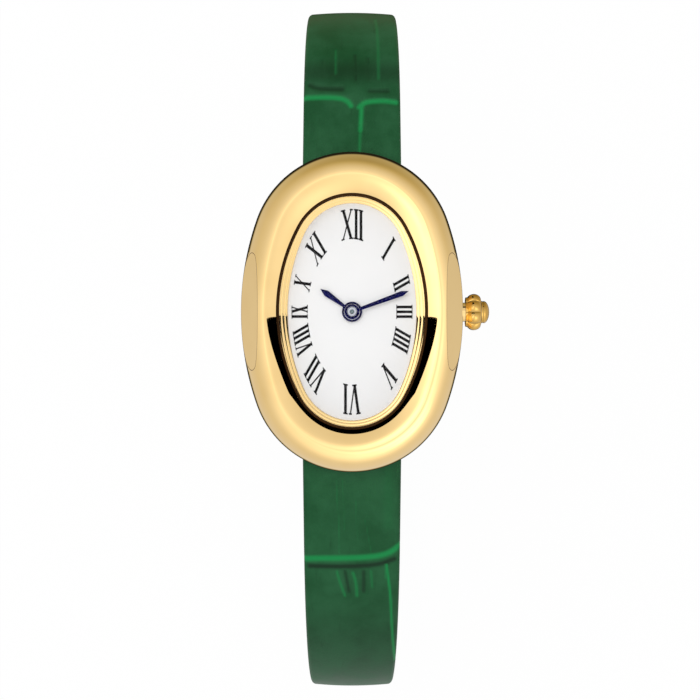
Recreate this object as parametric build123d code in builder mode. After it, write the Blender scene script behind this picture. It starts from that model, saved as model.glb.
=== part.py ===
from build123d import *
import math
import os

os.makedirs("parts", exist_ok=True)

# Oval watch on a leather strap, millimetres
# Origin at the centre of the case back's outer face, +Z out of the crystal, +Y to 12 o'clock, +X to the crown

# Clearances and the overrun of every cut
RUNNING_GAP = 0.04
SEAT_GAP = 0.02
SOFT_GAP = 0.05
OVERRUN = 1.0

# Case outline and bezel section
CASE_HALF_WIDTH = 11.1
CASE_HALF_LENGTH = 16.0
END_RADIUS_DROP = 1.0
CREST_INSET = 2.2
LIP_SIDE_INSET = 3.6
LIP_END_INSET = 4.3
LIP_RADIUS_DROP = 4.0
CREST_HEIGHT = 7.2
CREST_RADIUS = 1.5
CREST_TURN = 60.0
INNER_SLOPE_RADIUS = 3.6
INNER_SLOPE_TURN = 38.0
LEDGE_INSET = 3.7
UNDER_RADIUS = 2.6
UNDER_TURN = 80.0
UNDERSIDE_HEIGHT = 0.35
UNDERSIDE_INSET = 2.83
FLAT_FROM_CREST = 0.4
DIAL_SEAT_HEIGHT = 3.8

# Lower bore that holds the movement, and the case back over it
BORE_HALF_WIDTH = 6.9
BORE_HALF_LENGTH = 8.4
BORE_CORNER_RADIUS = 3.9
BACK_HALF_WIDTH = 8.25
BACK_HALF_LENGTH = 10.6
BACK_END_RADIUS = 7.6
BACK_THICKNESS = 0.8
BACK_RIM_HEIGHT = 0.15
PRY_NOTCH_WIDTH = 2.4
PRY_NOTCH_DEPTH = 0.4
GASKET_DEPTH = 0.3
GASKET_WIDTH = 0.35

# Crystal, its gasket and the stepped ring round the dial
CRYSTAL_FLOOR = 5.3
CRYSTAL_THICKNESS = 1.15
CRYSTAL_CHAMFER = 0.15
CRYSTAL_GASKET_WIDTH = 0.3
CRYSTAL_GASKET_HEIGHT = 1.0
RING_STEP_SIDE_WIDTHS = (1.1, 0.78, 0.45)
RING_STEP_END_WIDTHS = (0.9, 0.64, 0.37)
RING_STEP_RADIUS_DROPS = (0.9, 0.6, 0.3)

# Dial, its feet and the ring of numerals
DIAL_THICKNESS = 0.4
DIAL_HOLE_RADIUS = 0.75
DIAL_FOOT_RADIUS = 0.3
DIAL_FOOT_LENGTH = 0.7
DIAL_FOOT_X = 4.3
DIAL_FOOT_Y = 4.9
NUMERAL_THICKNESS = 0.04
NUMERAL_SIDE_GAP = 0.38
NUMERAL_END_GAP = 0.55
NUMERAL_SIDE_HEIGHT = 1.6
NUMERAL_END_HEIGHT = 3.0
STEM_STROKE = 0.26
HAIR_STROKE = 0.12
STEM_PITCH = 0.48
WIDE_LETTER = 1.3
SERIF_REACH = 0.09
SERIF_SHARE = 0.05
SIDE_LETTER_SHARE = 0.72
NUMERALS = ("XII", "I", "II", "III", "IIII", "V", "VI", "VII", "VIII", "IX", "X", "XI")

# Movement: plates, levels and arbors
MOVEMENT_HALF_WIDTH = 5.85
MOVEMENT_HALF_LENGTH = 7.0
MOVEMENT_CORNER_RADIUS = 3.0
PLATE_FLOOR = 2.85
POCKET_FLOOR = 3.2
PLATE_TOP = 3.75
BRIDGE_FLOOR = 1.05
BRIDGE_TOP = 1.4
HOLDER_FLOOR = 1.0
CLAMP_THICKNESS = 0.12
ARBOR_RADIUS = 0.1
STUD_RADIUS = 0.2
WHEEL_THICKNESS = 0.16
LEVEL_GAP = 0.06
POST_RADIUS = 0.4
SCREW_RADIUS = 0.2
SCREW_HEAD_RADIUS = 0.4
SCREW_HEAD_HEIGHT = 0.15
SCREW_DEPTH = 0.3
SCREW_SLOT = 0.1
POST_PLACES = ((-3.7, -0.7), (1.7, 4.3), (2.1, -1.75))

# Gear sizes: module and tooth counts
TRAIN_MODULE = 0.07
MOTION_MODULE = 0.1
TOOTH_DEPTH_SHARE = 2.0
TOOTH_BASE_SHARE = 0.46
TOOTH_TIP_SHARE = 0.18
CENTRE_TEETH = 60
THIRD_TEETH = 48
INTERMEDIATE_TEETH = 24
PINION_TEETH = 8
ROTOR_TEETH = 6
CANNON_TEETH = 12
MINUTE_TEETH = 36
MINUTE_PINION_TEETH = 10
HOUR_TEETH = 40
SETTING_TEETH = 14
THIRD_BEARING = 150.0
INTERMEDIATE_BEARING = 75.0
ROTOR_BEARING = 45.0
MINUTE_BEARING = -45.0
SETTING_BEARING = 20.0

# Electric parts of the movement
ROTOR_RADIUS = 0.6
ROTOR_FLOOR = 2.35
ROTOR_HEIGHT = 0.4
ROTOR_HOLE_GAP = 0.15
STATOR_HALF_WIDTH = 4.2
STATOR_LOWER_Y = 2.9
STATOR_UPPER_Y = 6.3
STATOR_LEG_X = 3.35
STATOR_LEG_Y = 5.05
SHAFT_PASSAGE_RADIUS = 0.24
COIL_Y = 5.9
COIL_Z = 2.0
COIL_RADIUS = 0.75
COIL_HALF_LENGTH = 3.2
CORE_HALF_WIDTH = 0.35
BATTERY_X = -2.9
BATTERY_Y = -4.2
BATTERY_RADIUS = 2.4
BATTERY_CAN_HEIGHT = 1.25
BATTERY_LID_RADIUS = 1.9
BATTERY_LID_HEIGHT = 0.35
BOARD_LEFT_X = 0.3
BOARD_RIGHT_X = 5.1
BOARD_LOWER_Y = -6.0
BOARD_UPPER_Y = -2.6
BOARD_THICKNESS = 0.3
BOARD_FLOOR = 1.3
CHIP_SIDE = 1.4
CHIP_HEIGHT = 0.5
CHIP_X = 1.9
CHIP_Y = -3.6
RESONATOR_RADIUS = 0.5
RESONATOR_LENGTH = 3.0
RESONATOR_X = 2.9
RESONATOR_Y = -5.3
CLAMP_ARM_WIDTH = 1.2
CLAMP_ARM_LENGTH = 3.4

# Stem, clutch, setting lever, tube and crown
STEM_Z = 2.3
STEM_RADIUS = 0.45
STEM_INNER_X = 2.6
STEM_SQUARE = 0.6
GROOVE_INNER_X = 4.05
GROOVE_OUTER_X = 4.45
GROOVE_RADIUS = 0.25
CLUTCH_INNER_X = 3.0
CLUTCH_LENGTH = 1.0
CLUTCH_RADIUS = 0.75
CLUTCH_TEETH = 12
BEARING_INNER_X = 5.45
BEARING_HALF_WIDTH = 0.9
BEARING_DROP = 1.15
LEVER_PIVOT_X = 4.7
LEVER_PIVOT_Y = 2.2
LEVER_REACH = 1.84
LEVER_REST_TURN = 14.0
LEVER_WIDTH = 0.7
LEVER_FLOOR = 1.25
LEVER_THICKNESS = 0.25
LEVER_PIN_RADIUS = 0.08
LEVER_PIN_TOP = 2.4
TUBE_INNER_X = 7.3
TUBE_STANDOUT = 1.1
TUBE_RADIUS = 0.95
TUBE_BORE_RADIUS = 0.5
CROWN_STANDOFF = 0.25
CROWN_BEAD_LENGTH = 1.55
CROWN_RADIUS = 1.9
CROWN_RIM_RADIUS = 1.5
CROWN_LOBES = 8
CROWN_GROOVE_RADIUS = 0.28
CROWN_CAP_RADIUS = 1.1
CROWN_CAP_LENGTH = 0.85
CROWN_HUB_STANDOUT = 1.85
CROWN_GASKET_THICKNESS = 0.2

# Hands, angles clockwise from 12 o'clock
HOUR_HAND_ANGLE = 305.8
MINUTE_HAND_ANGLE = 70.0
HAND_THICKNESS = 0.12
HOUR_HAND_FLOOR = 4.5
HOUR_HAND_LENGTH = 3.9
HOUR_HAND_ROOT_WIDTH = 0.26
HOUR_HAND_TIP_WIDTH = 0.62
HOUR_HAND_POINT = 0.75
HOUR_BOSS_RADIUS = 1.0
MINUTE_HAND_FLOOR = 4.84
MINUTE_HAND_FROM_LIP = 1.5
MINUTE_HAND_ROOT_WIDTH = 0.3
MINUTE_HAND_TIP_WIDTH = 0.52
MINUTE_HAND_POINT = 0.7
MINUTE_BOSS_RADIUS = 0.8
CANNON_RADIUS = 0.42
HOUR_PIPE_RADIUS = 0.66
CENTRE_PIN_TOP = 5.08

# Strap: width, layers and where it hangs
STRAP_ROOT_HALF_WIDTH = 5.0
STRAP_END_HALF_WIDTH = 4.0
STRAP_TAPER_TOP = 3.0
STRAP_TAPER_BOTTOM = -30.0
STRAP_HALF_THICKNESS = 1.25
LINING_THICKNESS = 0.9
STRAP_DROOP = 15.0
BAR_FROM_CASE_END = 3.0
BAR_Z = 1.6
BAR_RADIUS = 0.65
BAR_PIVOT_RADIUS = 0.35
BAR_PIVOT_LENGTH = 0.7
SLOT_SIDE_GAP = 0.12
SLOT_WALL_GAP = 0.25
SLOT_CEILING_GAP = 0.2
UPPER_RUN = 7.7
UPPER_BEND_RADIUS = 14.0
UPPER_LENGTH = 68.0
LOWER_RUN = 10.35
LOWER_BEND_RADIUS = 22.0
LOWER_LENGTH = 100.0
TIP_RADIUS = 4.1
HOLE_RADIUS = 0.65
HOLE_COUNT = 5
HOLE_PITCH = 4.0
FIRST_HOLE_FROM_TIP = 7.0

# Keepers and buckle
KEEPER_WALL = 0.8
KEEPER_LENGTH = 4.0
KEEPER_TAIL_ROOM = 2.6
FIXED_KEEPER_FROM_BAR = 1.9
LOOSE_KEEPER_FROM_FIXED = 1.4
BUCKLE_BAR_RADIUS = 0.55
BUCKLE_EAR_WIDTH = 0.9
BUCKLE_EAR_GAP = 0.18
BUCKLE_HEIGHT = 1.4
BUCKLE_BACK = 0.9
BUCKLE_FRONT = 8.2
BUCKLE_FRONT_WIDTH = 1.3
BUCKLE_CORNER_RADIUS = 0.7
TANG_WIDTH = 1.2
TANG_EYE_WALL = 0.4
TANG_THICKNESS = 0.7
TANG_OVERHANG = 0.4
TANG_SLOT_GAP = 0.3
TANG_SLOT_DEPTH = 1.9

# Heights and places worked out from the sizes above
CASE_END_RADIUS = CASE_HALF_WIDTH - END_RADIUS_DROP
LIP_HALF_WIDTH = CASE_HALF_WIDTH - LIP_SIDE_INSET
LIP_HALF_LENGTH = CASE_HALF_LENGTH - LIP_END_INSET
LIP_END_RADIUS = CASE_END_RADIUS - LIP_RADIUS_DROP
MINUTE_HAND_LENGTH = LIP_HALF_WIDTH - MINUTE_HAND_FROM_LIP
CREST_X = CASE_HALF_WIDTH - CREST_INSET
INNER_SLOPE_X = CREST_X - INNER_SLOPE_RADIUS * math.sin(math.radians(INNER_SLOPE_TURN))
FLAT_INNER_X = CREST_X + FLAT_FROM_CREST
SHOULDER_REACH = CREST_RADIUS * math.sin(math.radians(CREST_TURN))
FLANK_RADIUS = (CASE_HALF_WIDTH - CREST_X - SHOULDER_REACH) / (1 - math.sin(math.radians(CREST_TURN)))
SHOULDER_DROP = CREST_RADIUS * (1 - math.cos(math.radians(CREST_TURN)))
WIDEST_HEIGHT = CREST_HEIGHT - SHOULDER_DROP - FLANK_RADIUS * math.cos(math.radians(CREST_TURN))
FLAT_TOP_HEIGHT = CREST_HEIGHT - CREST_RADIUS + math.sqrt(CREST_RADIUS ** 2 - (FLAT_INNER_X - CREST_X) ** 2)
DIAL_TOP = DIAL_SEAT_HEIGHT + DIAL_THICKNESS
RING_HEIGHT = CRYSTAL_FLOOR - DIAL_TOP - SEAT_GAP
NUMERAL_OUTER_HALF_WIDTH = LIP_HALF_WIDTH - RING_STEP_SIDE_WIDTHS[0] - NUMERAL_SIDE_GAP
NUMERAL_OUTER_HALF_LENGTH = LIP_HALF_LENGTH - RING_STEP_END_WIDTHS[0] - NUMERAL_END_GAP
NUMERAL_INNER_HALF_WIDTH = NUMERAL_OUTER_HALF_WIDTH - NUMERAL_SIDE_HEIGHT
NUMERAL_INNER_HALF_LENGTH = NUMERAL_OUTER_HALF_LENGTH - NUMERAL_END_HEIGHT
TUBE_OUTER_X = CASE_HALF_WIDTH + TUBE_STANDOUT
CROWN_INNER_X = CASE_HALF_WIDTH + CROWN_STANDOFF
CROWN_HUB_X = CASE_HALF_WIDTH + CROWN_HUB_STANDOUT
BAR_Y = CASE_HALF_LENGTH - BAR_FROM_CASE_END
SLOT_HALF_WIDTH = STRAP_ROOT_HALF_WIDTH + SLOT_SIDE_GAP
SLOT_INNER_Y = BAR_Y - STRAP_HALF_THICKNESS - SLOT_WALL_GAP
SLOT_CEILING = BAR_Z + STRAP_HALF_THICKNESS + SLOT_CEILING_GAP
MOTION_LEVEL = POCKET_FLOOR + LEVEL_GAP
HOUR_LEVEL = MOTION_LEVEL + WHEEL_THICKNESS + LEVEL_GAP
CENTRE_LEVEL = PLATE_FLOOR - LEVEL_GAP - WHEEL_THICKNESS
THIRD_LEVEL = CENTRE_LEVEL - 3 * WHEEL_THICKNESS
INTERMEDIATE_LEVEL = THIRD_LEVEL - 3 * WHEEL_THICKNESS
HOUR_MODULE = MOTION_MODULE * (CANNON_TEETH + MINUTE_TEETH) / (MINUTE_PINION_TEETH + HOUR_TEETH)
ARBOR_BASE = BRIDGE_FLOOR + WHEEL_THICKNESS / 2
ARBOR_TOP = PLATE_FLOOR + WHEEL_THICKNESS
CANNON_TOP = MINUTE_HAND_FLOOR + HAND_THICKNESS
HOUR_PIPE_TOP = HOUR_HAND_FLOOR + HAND_THICKNESS
BATTERY_FLOOR = HOLDER_FLOOR
LEVER_PIN_X = LEVER_PIVOT_X - LEVER_REACH * math.sin(math.radians(LEVER_REST_TURN))
LEVER_PIN_Y = LEVER_PIVOT_Y - LEVER_REACH * math.cos(math.radians(LEVER_REST_TURN))
SIDE_WALL_HOLE_RADIUS = BAR_PIVOT_RADIUS + SEAT_GAP


def gear_distance(module, teeth_a, teeth_b):
    """Centre distance of two meshing gears."""
    return module * (teeth_a + teeth_b) / 2


def beside(place, distance, bearing):
    """The point at a distance and bearing, in degrees from +X, from a place."""
    turn = math.radians(bearing)
    return (place[0] + distance * math.cos(turn), place[1] + distance * math.sin(turn))


CENTRE = (0, 0)
THIRD = beside(CENTRE, gear_distance(TRAIN_MODULE, CENTRE_TEETH, PINION_TEETH), THIRD_BEARING)
INTERMEDIATE = beside(THIRD, gear_distance(TRAIN_MODULE, THIRD_TEETH, PINION_TEETH), INTERMEDIATE_BEARING)
ROTOR = beside(
    INTERMEDIATE, gear_distance(TRAIN_MODULE, INTERMEDIATE_TEETH, ROTOR_TEETH), ROTOR_BEARING
)
MINUTE = beside(CENTRE, gear_distance(MOTION_MODULE, CANNON_TEETH, MINUTE_TEETH), MINUTE_BEARING)
SETTING = beside(MINUTE, gear_distance(MOTION_MODULE, MINUTE_TEETH, SETTING_TEETH), SETTING_BEARING)


def oval_outline(half_width, half_length, end_radius):
    """A closed oval of four tangent arcs, drawn in the active line."""
    flat = half_width ** 2 + half_length ** 2 - 2 * half_length * end_radius
    side_radius = flat / (2 * (half_width - end_radius))
    end_y = half_length - end_radius
    side_x = side_radius - half_width
    turn = math.degrees(math.atan2(end_y, side_x))
    CenterArc((-side_x, 0), side_radius, -turn, 2 * turn)
    CenterArc((0, end_y), end_radius, turn, 180 - 2 * turn)
    CenterArc((side_x, 0), side_radius, 180 - turn, 2 * turn)
    CenterArc((0, -end_y), end_radius, 180 + turn, 180 - 2 * turn)


def oval_face(half_width, half_length, end_radius, mode=Mode.ADD):
    """A filled oval in the active sketch."""
    with BuildLine() as outline:
        oval_outline(half_width, half_length, end_radius)
    make_face(outline.edges(), mode=mode)


def inset_oval(inset, mode=Mode.ADD):
    """A filled oval that runs a set distance inside the case outline."""
    oval_face(CASE_HALF_WIDTH - inset, CASE_HALF_LENGTH - inset, CASE_END_RADIUS - inset, mode=mode)


def lip_oval(inset=0, mode=Mode.ADD):
    """A filled oval that runs a set distance inside the lip of the bezel."""
    oval_face(LIP_HALF_WIDTH - inset, LIP_HALF_LENGTH - inset, LIP_END_RADIUS - inset, mode=mode)


def gear_face(module, teeth, bore_radius=0):
    """A spur gear with straight-sided teeth, in the active sketch."""
    pitch_radius = module * teeth / 2
    depth = module * TOOTH_DEPTH_SHARE
    root_radius = pitch_radius - depth / 2
    tooth_pitch = math.pi * module
    with BuildLine() as outline:
        points = []
        for tooth in range(teeth):
            middle = 2 * math.pi * tooth / teeth
            base = tooth_pitch * TOOTH_BASE_SHARE / 2 / root_radius
            tip = tooth_pitch * TOOTH_TIP_SHARE / 2 / (root_radius + depth)
            for radius, turn in (
                (root_radius, middle - base),
                (root_radius + depth, middle - tip),
                (root_radius + depth, middle + tip),
                (root_radius, middle + base),
            ):
                points.append((radius * math.cos(turn), radius * math.sin(turn)))
        Polyline(*points, close=True)
    make_face(outline.edges())
    if bore_radius:
        Circle(bore_radius, mode=Mode.SUBTRACT)


def save(part, name):
    """Label a finished piece and write it to its file."""
    part.label = name
    export_step(part, f"parts/{name}.step")


# Case: one polished body with a domed bezel, a dial ledge and hidden strap slots
with BuildPart() as case_middle:
    with BuildLine() as crest_path:
        oval_outline(CREST_X, CASE_HALF_LENGTH - CREST_INSET, CASE_END_RADIUS - CREST_INSET)
    with BuildSketch(Plane.XZ):
        with BuildLine():
            crest = (CREST_X, CREST_HEIGHT)
            inner_slope = JernArc(crest, (-1, 0), INNER_SLOPE_RADIUS, INNER_SLOPE_TURN)
            shoulder = JernArc(crest, (1, 0), CREST_RADIUS, -CREST_TURN)
            flank = JernArc(shoulder @ 1, shoulder % 1, FLANK_RADIUS, CREST_TURN - 90)
            under = JernArc(flank @ 1, (0, -1), UNDER_RADIUS, -UNDER_TURN)
            Polyline(
                under @ 1,
                (CASE_HALF_WIDTH - UNDERSIDE_INSET, UNDERSIDE_HEIGHT),
                (INNER_SLOPE_X, UNDERSIDE_HEIGHT),
                inner_slope @ 1,
            )
        make_face()
    sweep(path=crest_path.wire())
    with BuildSketch(Plane.XY.offset(UNDERSIDE_HEIGHT)):
        inset_oval(LEDGE_INSET)
    extrude(amount=DIAL_SEAT_HEIGHT - UNDERSIDE_HEIGHT)
    with BuildSketch():
        RectangleRounded(2 * BORE_HALF_WIDTH, 2 * BORE_HALF_LENGTH, BORE_CORNER_RADIUS)
    extrude(amount=DIAL_SEAT_HEIGHT + OVERRUN, mode=Mode.SUBTRACT)
    with BuildSketch():
        oval_face(BACK_HALF_WIDTH + SEAT_GAP, BACK_HALF_LENGTH + SEAT_GAP, BACK_END_RADIUS + SEAT_GAP)
    extrude(amount=BACK_THICKNESS, mode=Mode.SUBTRACT)
    with BuildSketch(Plane.XY.offset(DIAL_SEAT_HEIGHT)):
        lip_oval()
    extrude(amount=CREST_HEIGHT, mode=Mode.SUBTRACT)
    with BuildSketch(Plane.XZ) as side_flats:
        for side in (1, -1):
            with BuildLine():
                Polyline(
                    (side * FLAT_INNER_X, FLAT_TOP_HEIGHT),
                    (side * CASE_HALF_WIDTH, WIDEST_HEIGHT),
                    (side * (CASE_HALF_WIDTH + OVERRUN), WIDEST_HEIGHT),
                    (side * (CASE_HALF_WIDTH + OVERRUN), CREST_HEIGHT + OVERRUN),
                    (side * FLAT_INNER_X, CREST_HEIGHT + OVERRUN),
                    close=True,
                )
            make_face()
    extrude(amount=CASE_HALF_LENGTH, both=True, mode=Mode.SUBTRACT)
    slot_length = CASE_HALF_LENGTH + OVERRUN - SLOT_INNER_Y
    slot_height = SLOT_CEILING + OVERRUN
    with Locations(
        (0, SLOT_INNER_Y + slot_length / 2, SLOT_CEILING - slot_height / 2),
        (0, -SLOT_INNER_Y - slot_length / 2, SLOT_CEILING - slot_height / 2),
    ):
        Box(2 * SLOT_HALF_WIDTH, slot_length, slot_height, mode=Mode.SUBTRACT)
    with BuildSketch(Plane.YZ):
        with Locations((BAR_Y, BAR_Z), (-BAR_Y, BAR_Z)):
            Circle(SIDE_WALL_HOLE_RADIUS)
    extrude(amount=SLOT_HALF_WIDTH + BAR_PIVOT_LENGTH, both=True, mode=Mode.SUBTRACT)
    with BuildSketch(Plane.YZ):
        with Locations((0, STEM_Z)):
            Circle(TUBE_RADIUS + SEAT_GAP)
    extrude(amount=CASE_HALF_WIDTH + OVERRUN, mode=Mode.SUBTRACT)
save(case_middle.part, "case_middle")

# Case back: a snap-on oval cover with a raised rim and a pry notch
with BuildPart() as case_back:
    with BuildSketch():
        oval_face(BACK_HALF_WIDTH, BACK_HALF_LENGTH, BACK_END_RADIUS)
    extrude(amount=BACK_THICKNESS - SEAT_GAP)
    bottom_edges = case_back.edges().group_by(Axis.Z)[0]
    chamfer(bottom_edges, length=BACK_RIM_HEIGHT)
    with Locations((0, BACK_HALF_LENGTH, 0)):
        Box(PRY_NOTCH_WIDTH, 2 * PRY_NOTCH_DEPTH, 2 * PRY_NOTCH_DEPTH, mode=Mode.SUBTRACT)
    with BuildSketch(Plane.XY.offset(BACK_THICKNESS - GASKET_DEPTH)):
        RectangleRounded(
            2 * (BORE_HALF_WIDTH + GASKET_WIDTH),
            2 * (BORE_HALF_LENGTH + GASKET_WIDTH),
            BORE_CORNER_RADIUS + GASKET_WIDTH,
        )
        RectangleRounded(
            2 * BORE_HALF_WIDTH, 2 * BORE_HALF_LENGTH, BORE_CORNER_RADIUS, mode=Mode.SUBTRACT
        )
    extrude(amount=GASKET_DEPTH, mode=Mode.SUBTRACT)
save(case_back.part, "case_back")

# Case back gasket in its groove
with BuildPart() as case_back_gasket:
    with BuildSketch(Plane.XY.offset(BACK_THICKNESS - GASKET_DEPTH)):
        RectangleRounded(
            2 * (BORE_HALF_WIDTH + GASKET_WIDTH - SEAT_GAP),
            2 * (BORE_HALF_LENGTH + GASKET_WIDTH - SEAT_GAP),
            BORE_CORNER_RADIUS + GASKET_WIDTH - SEAT_GAP,
        )
        RectangleRounded(
            2 * (BORE_HALF_WIDTH + SEAT_GAP),
            2 * (BORE_HALF_LENGTH + SEAT_GAP),
            BORE_CORNER_RADIUS + SEAT_GAP,
            mode=Mode.SUBTRACT,
        )
    extrude(amount=GASKET_DEPTH - SEAT_GAP)
save(case_back_gasket.part, "case_back_gasket")

# Crystal: flat glass with a polished edge
with BuildPart() as crystal:
    with BuildSketch(Plane.XY.offset(CRYSTAL_FLOOR)):
        lip_oval(CRYSTAL_GASKET_WIDTH)
    extrude(amount=CRYSTAL_THICKNESS)
    chamfer(crystal.edges().group_by(Axis.Z)[-1], length=CRYSTAL_CHAMFER)
save(crystal.part, "crystal")

# Crystal gasket round the glass
with BuildPart() as crystal_gasket:
    with BuildSketch(Plane.XY.offset(CRYSTAL_FLOOR)):
        lip_oval(SEAT_GAP)
        lip_oval(CRYSTAL_GASKET_WIDTH - SEAT_GAP, mode=Mode.SUBTRACT)
    extrude(amount=CRYSTAL_GASKET_HEIGHT)
save(crystal_gasket.part, "crystal_gasket")

# Flange ring: three steps down to the dial
with BuildPart() as flange_ring:
    step_height = RING_HEIGHT / len(RING_STEP_SIDE_WIDTHS)
    with BuildSketch(Plane.XY.offset(DIAL_TOP)):
        lip_oval(2 * SEAT_GAP)
    extrude(amount=RING_HEIGHT)
    steps = zip(RING_STEP_SIDE_WIDTHS, RING_STEP_END_WIDTHS, RING_STEP_RADIUS_DROPS)
    for step, (side_width, end_width, radius_drop) in enumerate(steps):
        with BuildSketch(Plane.XY.offset(DIAL_TOP + step * step_height)):
            oval_face(
                LIP_HALF_WIDTH - side_width, LIP_HALF_LENGTH - end_width, LIP_END_RADIUS - radius_drop
            )
        extrude(amount=RING_HEIGHT, mode=Mode.SUBTRACT)
save(flange_ring.part, "flange_ring")

# Dial plate with two feet
with BuildPart() as dial:
    with BuildSketch(Plane.XY.offset(DIAL_SEAT_HEIGHT)):
        lip_oval(2 * SEAT_GAP)
        Circle(DIAL_HOLE_RADIUS, mode=Mode.SUBTRACT)
    extrude(amount=DIAL_THICKNESS)
    with BuildSketch(Plane.XY.offset(DIAL_SEAT_HEIGHT)):
        with Locations((DIAL_FOOT_X, DIAL_FOOT_Y), (-DIAL_FOOT_X, DIAL_FOOT_Y)):
            Circle(DIAL_FOOT_RADIUS)
    extrude(amount=-DIAL_FOOT_LENGTH)
save(dial.part, "dial")


def oval_reach(turn, offset, half_width, half_length):
    """Distance out to an ellipse along a line beside the ray at a clockwise turn from 12 o'clock."""
    across = math.sin(turn)
    along = math.cos(turn)
    square = (across / half_width) ** 2 + (along / half_length) ** 2
    cross = offset * across * along * (1 / half_width ** 2 - 1 / half_length ** 2)
    rest = (offset * along / half_width) ** 2 + (offset * across / half_length) ** 2 - 1
    return (math.sqrt(cross ** 2 - square * rest) - cross) / square


def numeral_point(turn, offset, share):
    """A point of a numeral: an offset beside its ray, a share of the way from its foot to its head."""
    foot = oval_reach(turn, offset, NUMERAL_INNER_HALF_WIDTH, NUMERAL_INNER_HALF_LENGTH)
    head = oval_reach(turn, offset, NUMERAL_OUTER_HALF_WIDTH, NUMERAL_OUTER_HALF_LENGTH)
    reach = foot + (head - foot) * share
    return (
        offset * math.cos(turn) + reach * math.sin(turn),
        -offset * math.sin(turn) + reach * math.cos(turn),
    )


def numeral_stroke(turn, foot_offset, head_offset, width):
    """One straight stroke with a serif at each end, in the active sketch."""
    half = width / 2
    reach = half + SERIF_REACH
    outlines = (
        ((foot_offset - half, 0), (foot_offset + half, 0), (head_offset + half, 1), (head_offset - half, 1)),
        (
            (foot_offset - reach, 0),
            (foot_offset + reach, 0),
            (foot_offset + reach, SERIF_SHARE),
            (foot_offset - reach, SERIF_SHARE),
        ),
        (
            (head_offset - reach, 1 - SERIF_SHARE),
            (head_offset + reach, 1 - SERIF_SHARE),
            (head_offset + reach, 1),
            (head_offset - reach, 1),
        ),
    )
    for corners in outlines:
        with BuildLine() as outline:
            Polyline(*[numeral_point(turn, offset, share) for offset, share in corners], close=True)
        make_face(outline.edges())


def numeral_strokes(text, wide):
    """The strokes of a numeral as foot offset, head offset and width, centred on zero."""
    strokes = []
    start = 0
    for letter in text:
        span = STEM_PITCH if letter == "I" else wide
        left = start + STEM_PITCH / 2
        right = start + span - STEM_PITCH / 2
        if letter == "I":
            strokes.append((left, left, STEM_STROKE))
        if letter == "V":
            strokes.append(((left + right) / 2, left, STEM_STROKE))
            strokes.append(((left + right) / 2, right, HAIR_STROKE))
        if letter == "X":
            strokes.append((right, left, STEM_STROKE))
            strokes.append((left, right, HAIR_STROKE))
        start = start + span
    return [(foot - start / 2, head - start / 2, width) for foot, head, width in strokes]


# Numerals, printed on the dial, feet to the centre
with BuildPart() as numerals:
    for hour, text in enumerate(NUMERALS):
        hour_turn = 2 * math.pi * hour / len(NUMERALS)
        wide = WIDE_LETTER * (SIDE_LETTER_SHARE + (1 - SIDE_LETTER_SHARE) * abs(math.cos(hour_turn)))
        with BuildSketch(Plane.XY.offset(DIAL_TOP)):
            for foot, head, width in numeral_strokes(text, wide):
                numeral_stroke(hour_turn, foot, head, width)
        extrude(amount=NUMERAL_THICKNESS)
save(numerals.part, "numerals")


def hand_face(angle, length, root_width, tip_width, point, boss_radius, hole_radius):
    """A hand that widens from its boss to a short point, in the active sketch."""
    turn = math.radians(angle)

    def place(offset, reach):
        return (
            reach * math.sin(turn) + offset * math.cos(turn),
            reach * math.cos(turn) - offset * math.sin(turn),
        )

    with BuildLine() as outline:
        Polyline(
            place(-root_width / 2, 0),
            place(-tip_width / 2, length - point),
            place(0, length),
            place(tip_width / 2, length - point),
            place(root_width / 2, 0),
            close=True,
        )
    make_face(outline.edges())
    Circle(boss_radius)
    Circle(hole_radius, mode=Mode.SUBTRACT)


# Hour hand
with BuildPart() as hour_hand:
    with BuildSketch(Plane.XY.offset(HOUR_HAND_FLOOR)):
        hand_face(
            HOUR_HAND_ANGLE,
            HOUR_HAND_LENGTH,
            HOUR_HAND_ROOT_WIDTH,
            HOUR_HAND_TIP_WIDTH,
            HOUR_HAND_POINT,
            HOUR_BOSS_RADIUS,
            HOUR_PIPE_RADIUS + SEAT_GAP,
        )
    extrude(amount=HAND_THICKNESS)
save(hour_hand.part, "hour_hand")

# Minute hand
with BuildPart() as minute_hand:
    with BuildSketch(Plane.XY.offset(MINUTE_HAND_FLOOR)):
        hand_face(
            MINUTE_HAND_ANGLE,
            MINUTE_HAND_LENGTH,
            MINUTE_HAND_ROOT_WIDTH,
            MINUTE_HAND_TIP_WIDTH,
            MINUTE_HAND_POINT,
            MINUTE_BOSS_RADIUS,
            CANNON_RADIUS + SEAT_GAP,
        )
    extrude(amount=HAND_THICKNESS)
save(minute_hand.part, "minute_hand")

# Centre pin that the hands turn on, fixed in the bridge
with BuildPart() as centre_pin:
    with BuildSketch(Plane.XY.offset(BRIDGE_FLOOR)):
        Circle(STUD_RADIUS)
    extrude(amount=CENTRE_PIN_TOP - BRIDGE_FLOOR)
save(centre_pin.part, "centre_pin")

# Cannon pinion: the minute hand's pipe with its teeth
with BuildPart() as cannon_pinion:
    with BuildSketch(Plane.XY.offset(CENTRE_LEVEL - LEVEL_GAP)):
        Circle(CANNON_RADIUS)
    extrude(amount=CANNON_TOP - CENTRE_LEVEL + LEVEL_GAP)
    with BuildSketch(Plane.XY.offset(MOTION_LEVEL)):
        gear_face(MOTION_MODULE, CANNON_TEETH)
    extrude(amount=WHEEL_THICKNESS)
    with BuildSketch():
        Circle(STUD_RADIUS + RUNNING_GAP)
    extrude(amount=CANNON_TOP + OVERRUN, mode=Mode.SUBTRACT)
save(cannon_pinion.part, "cannon_pinion")

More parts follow.
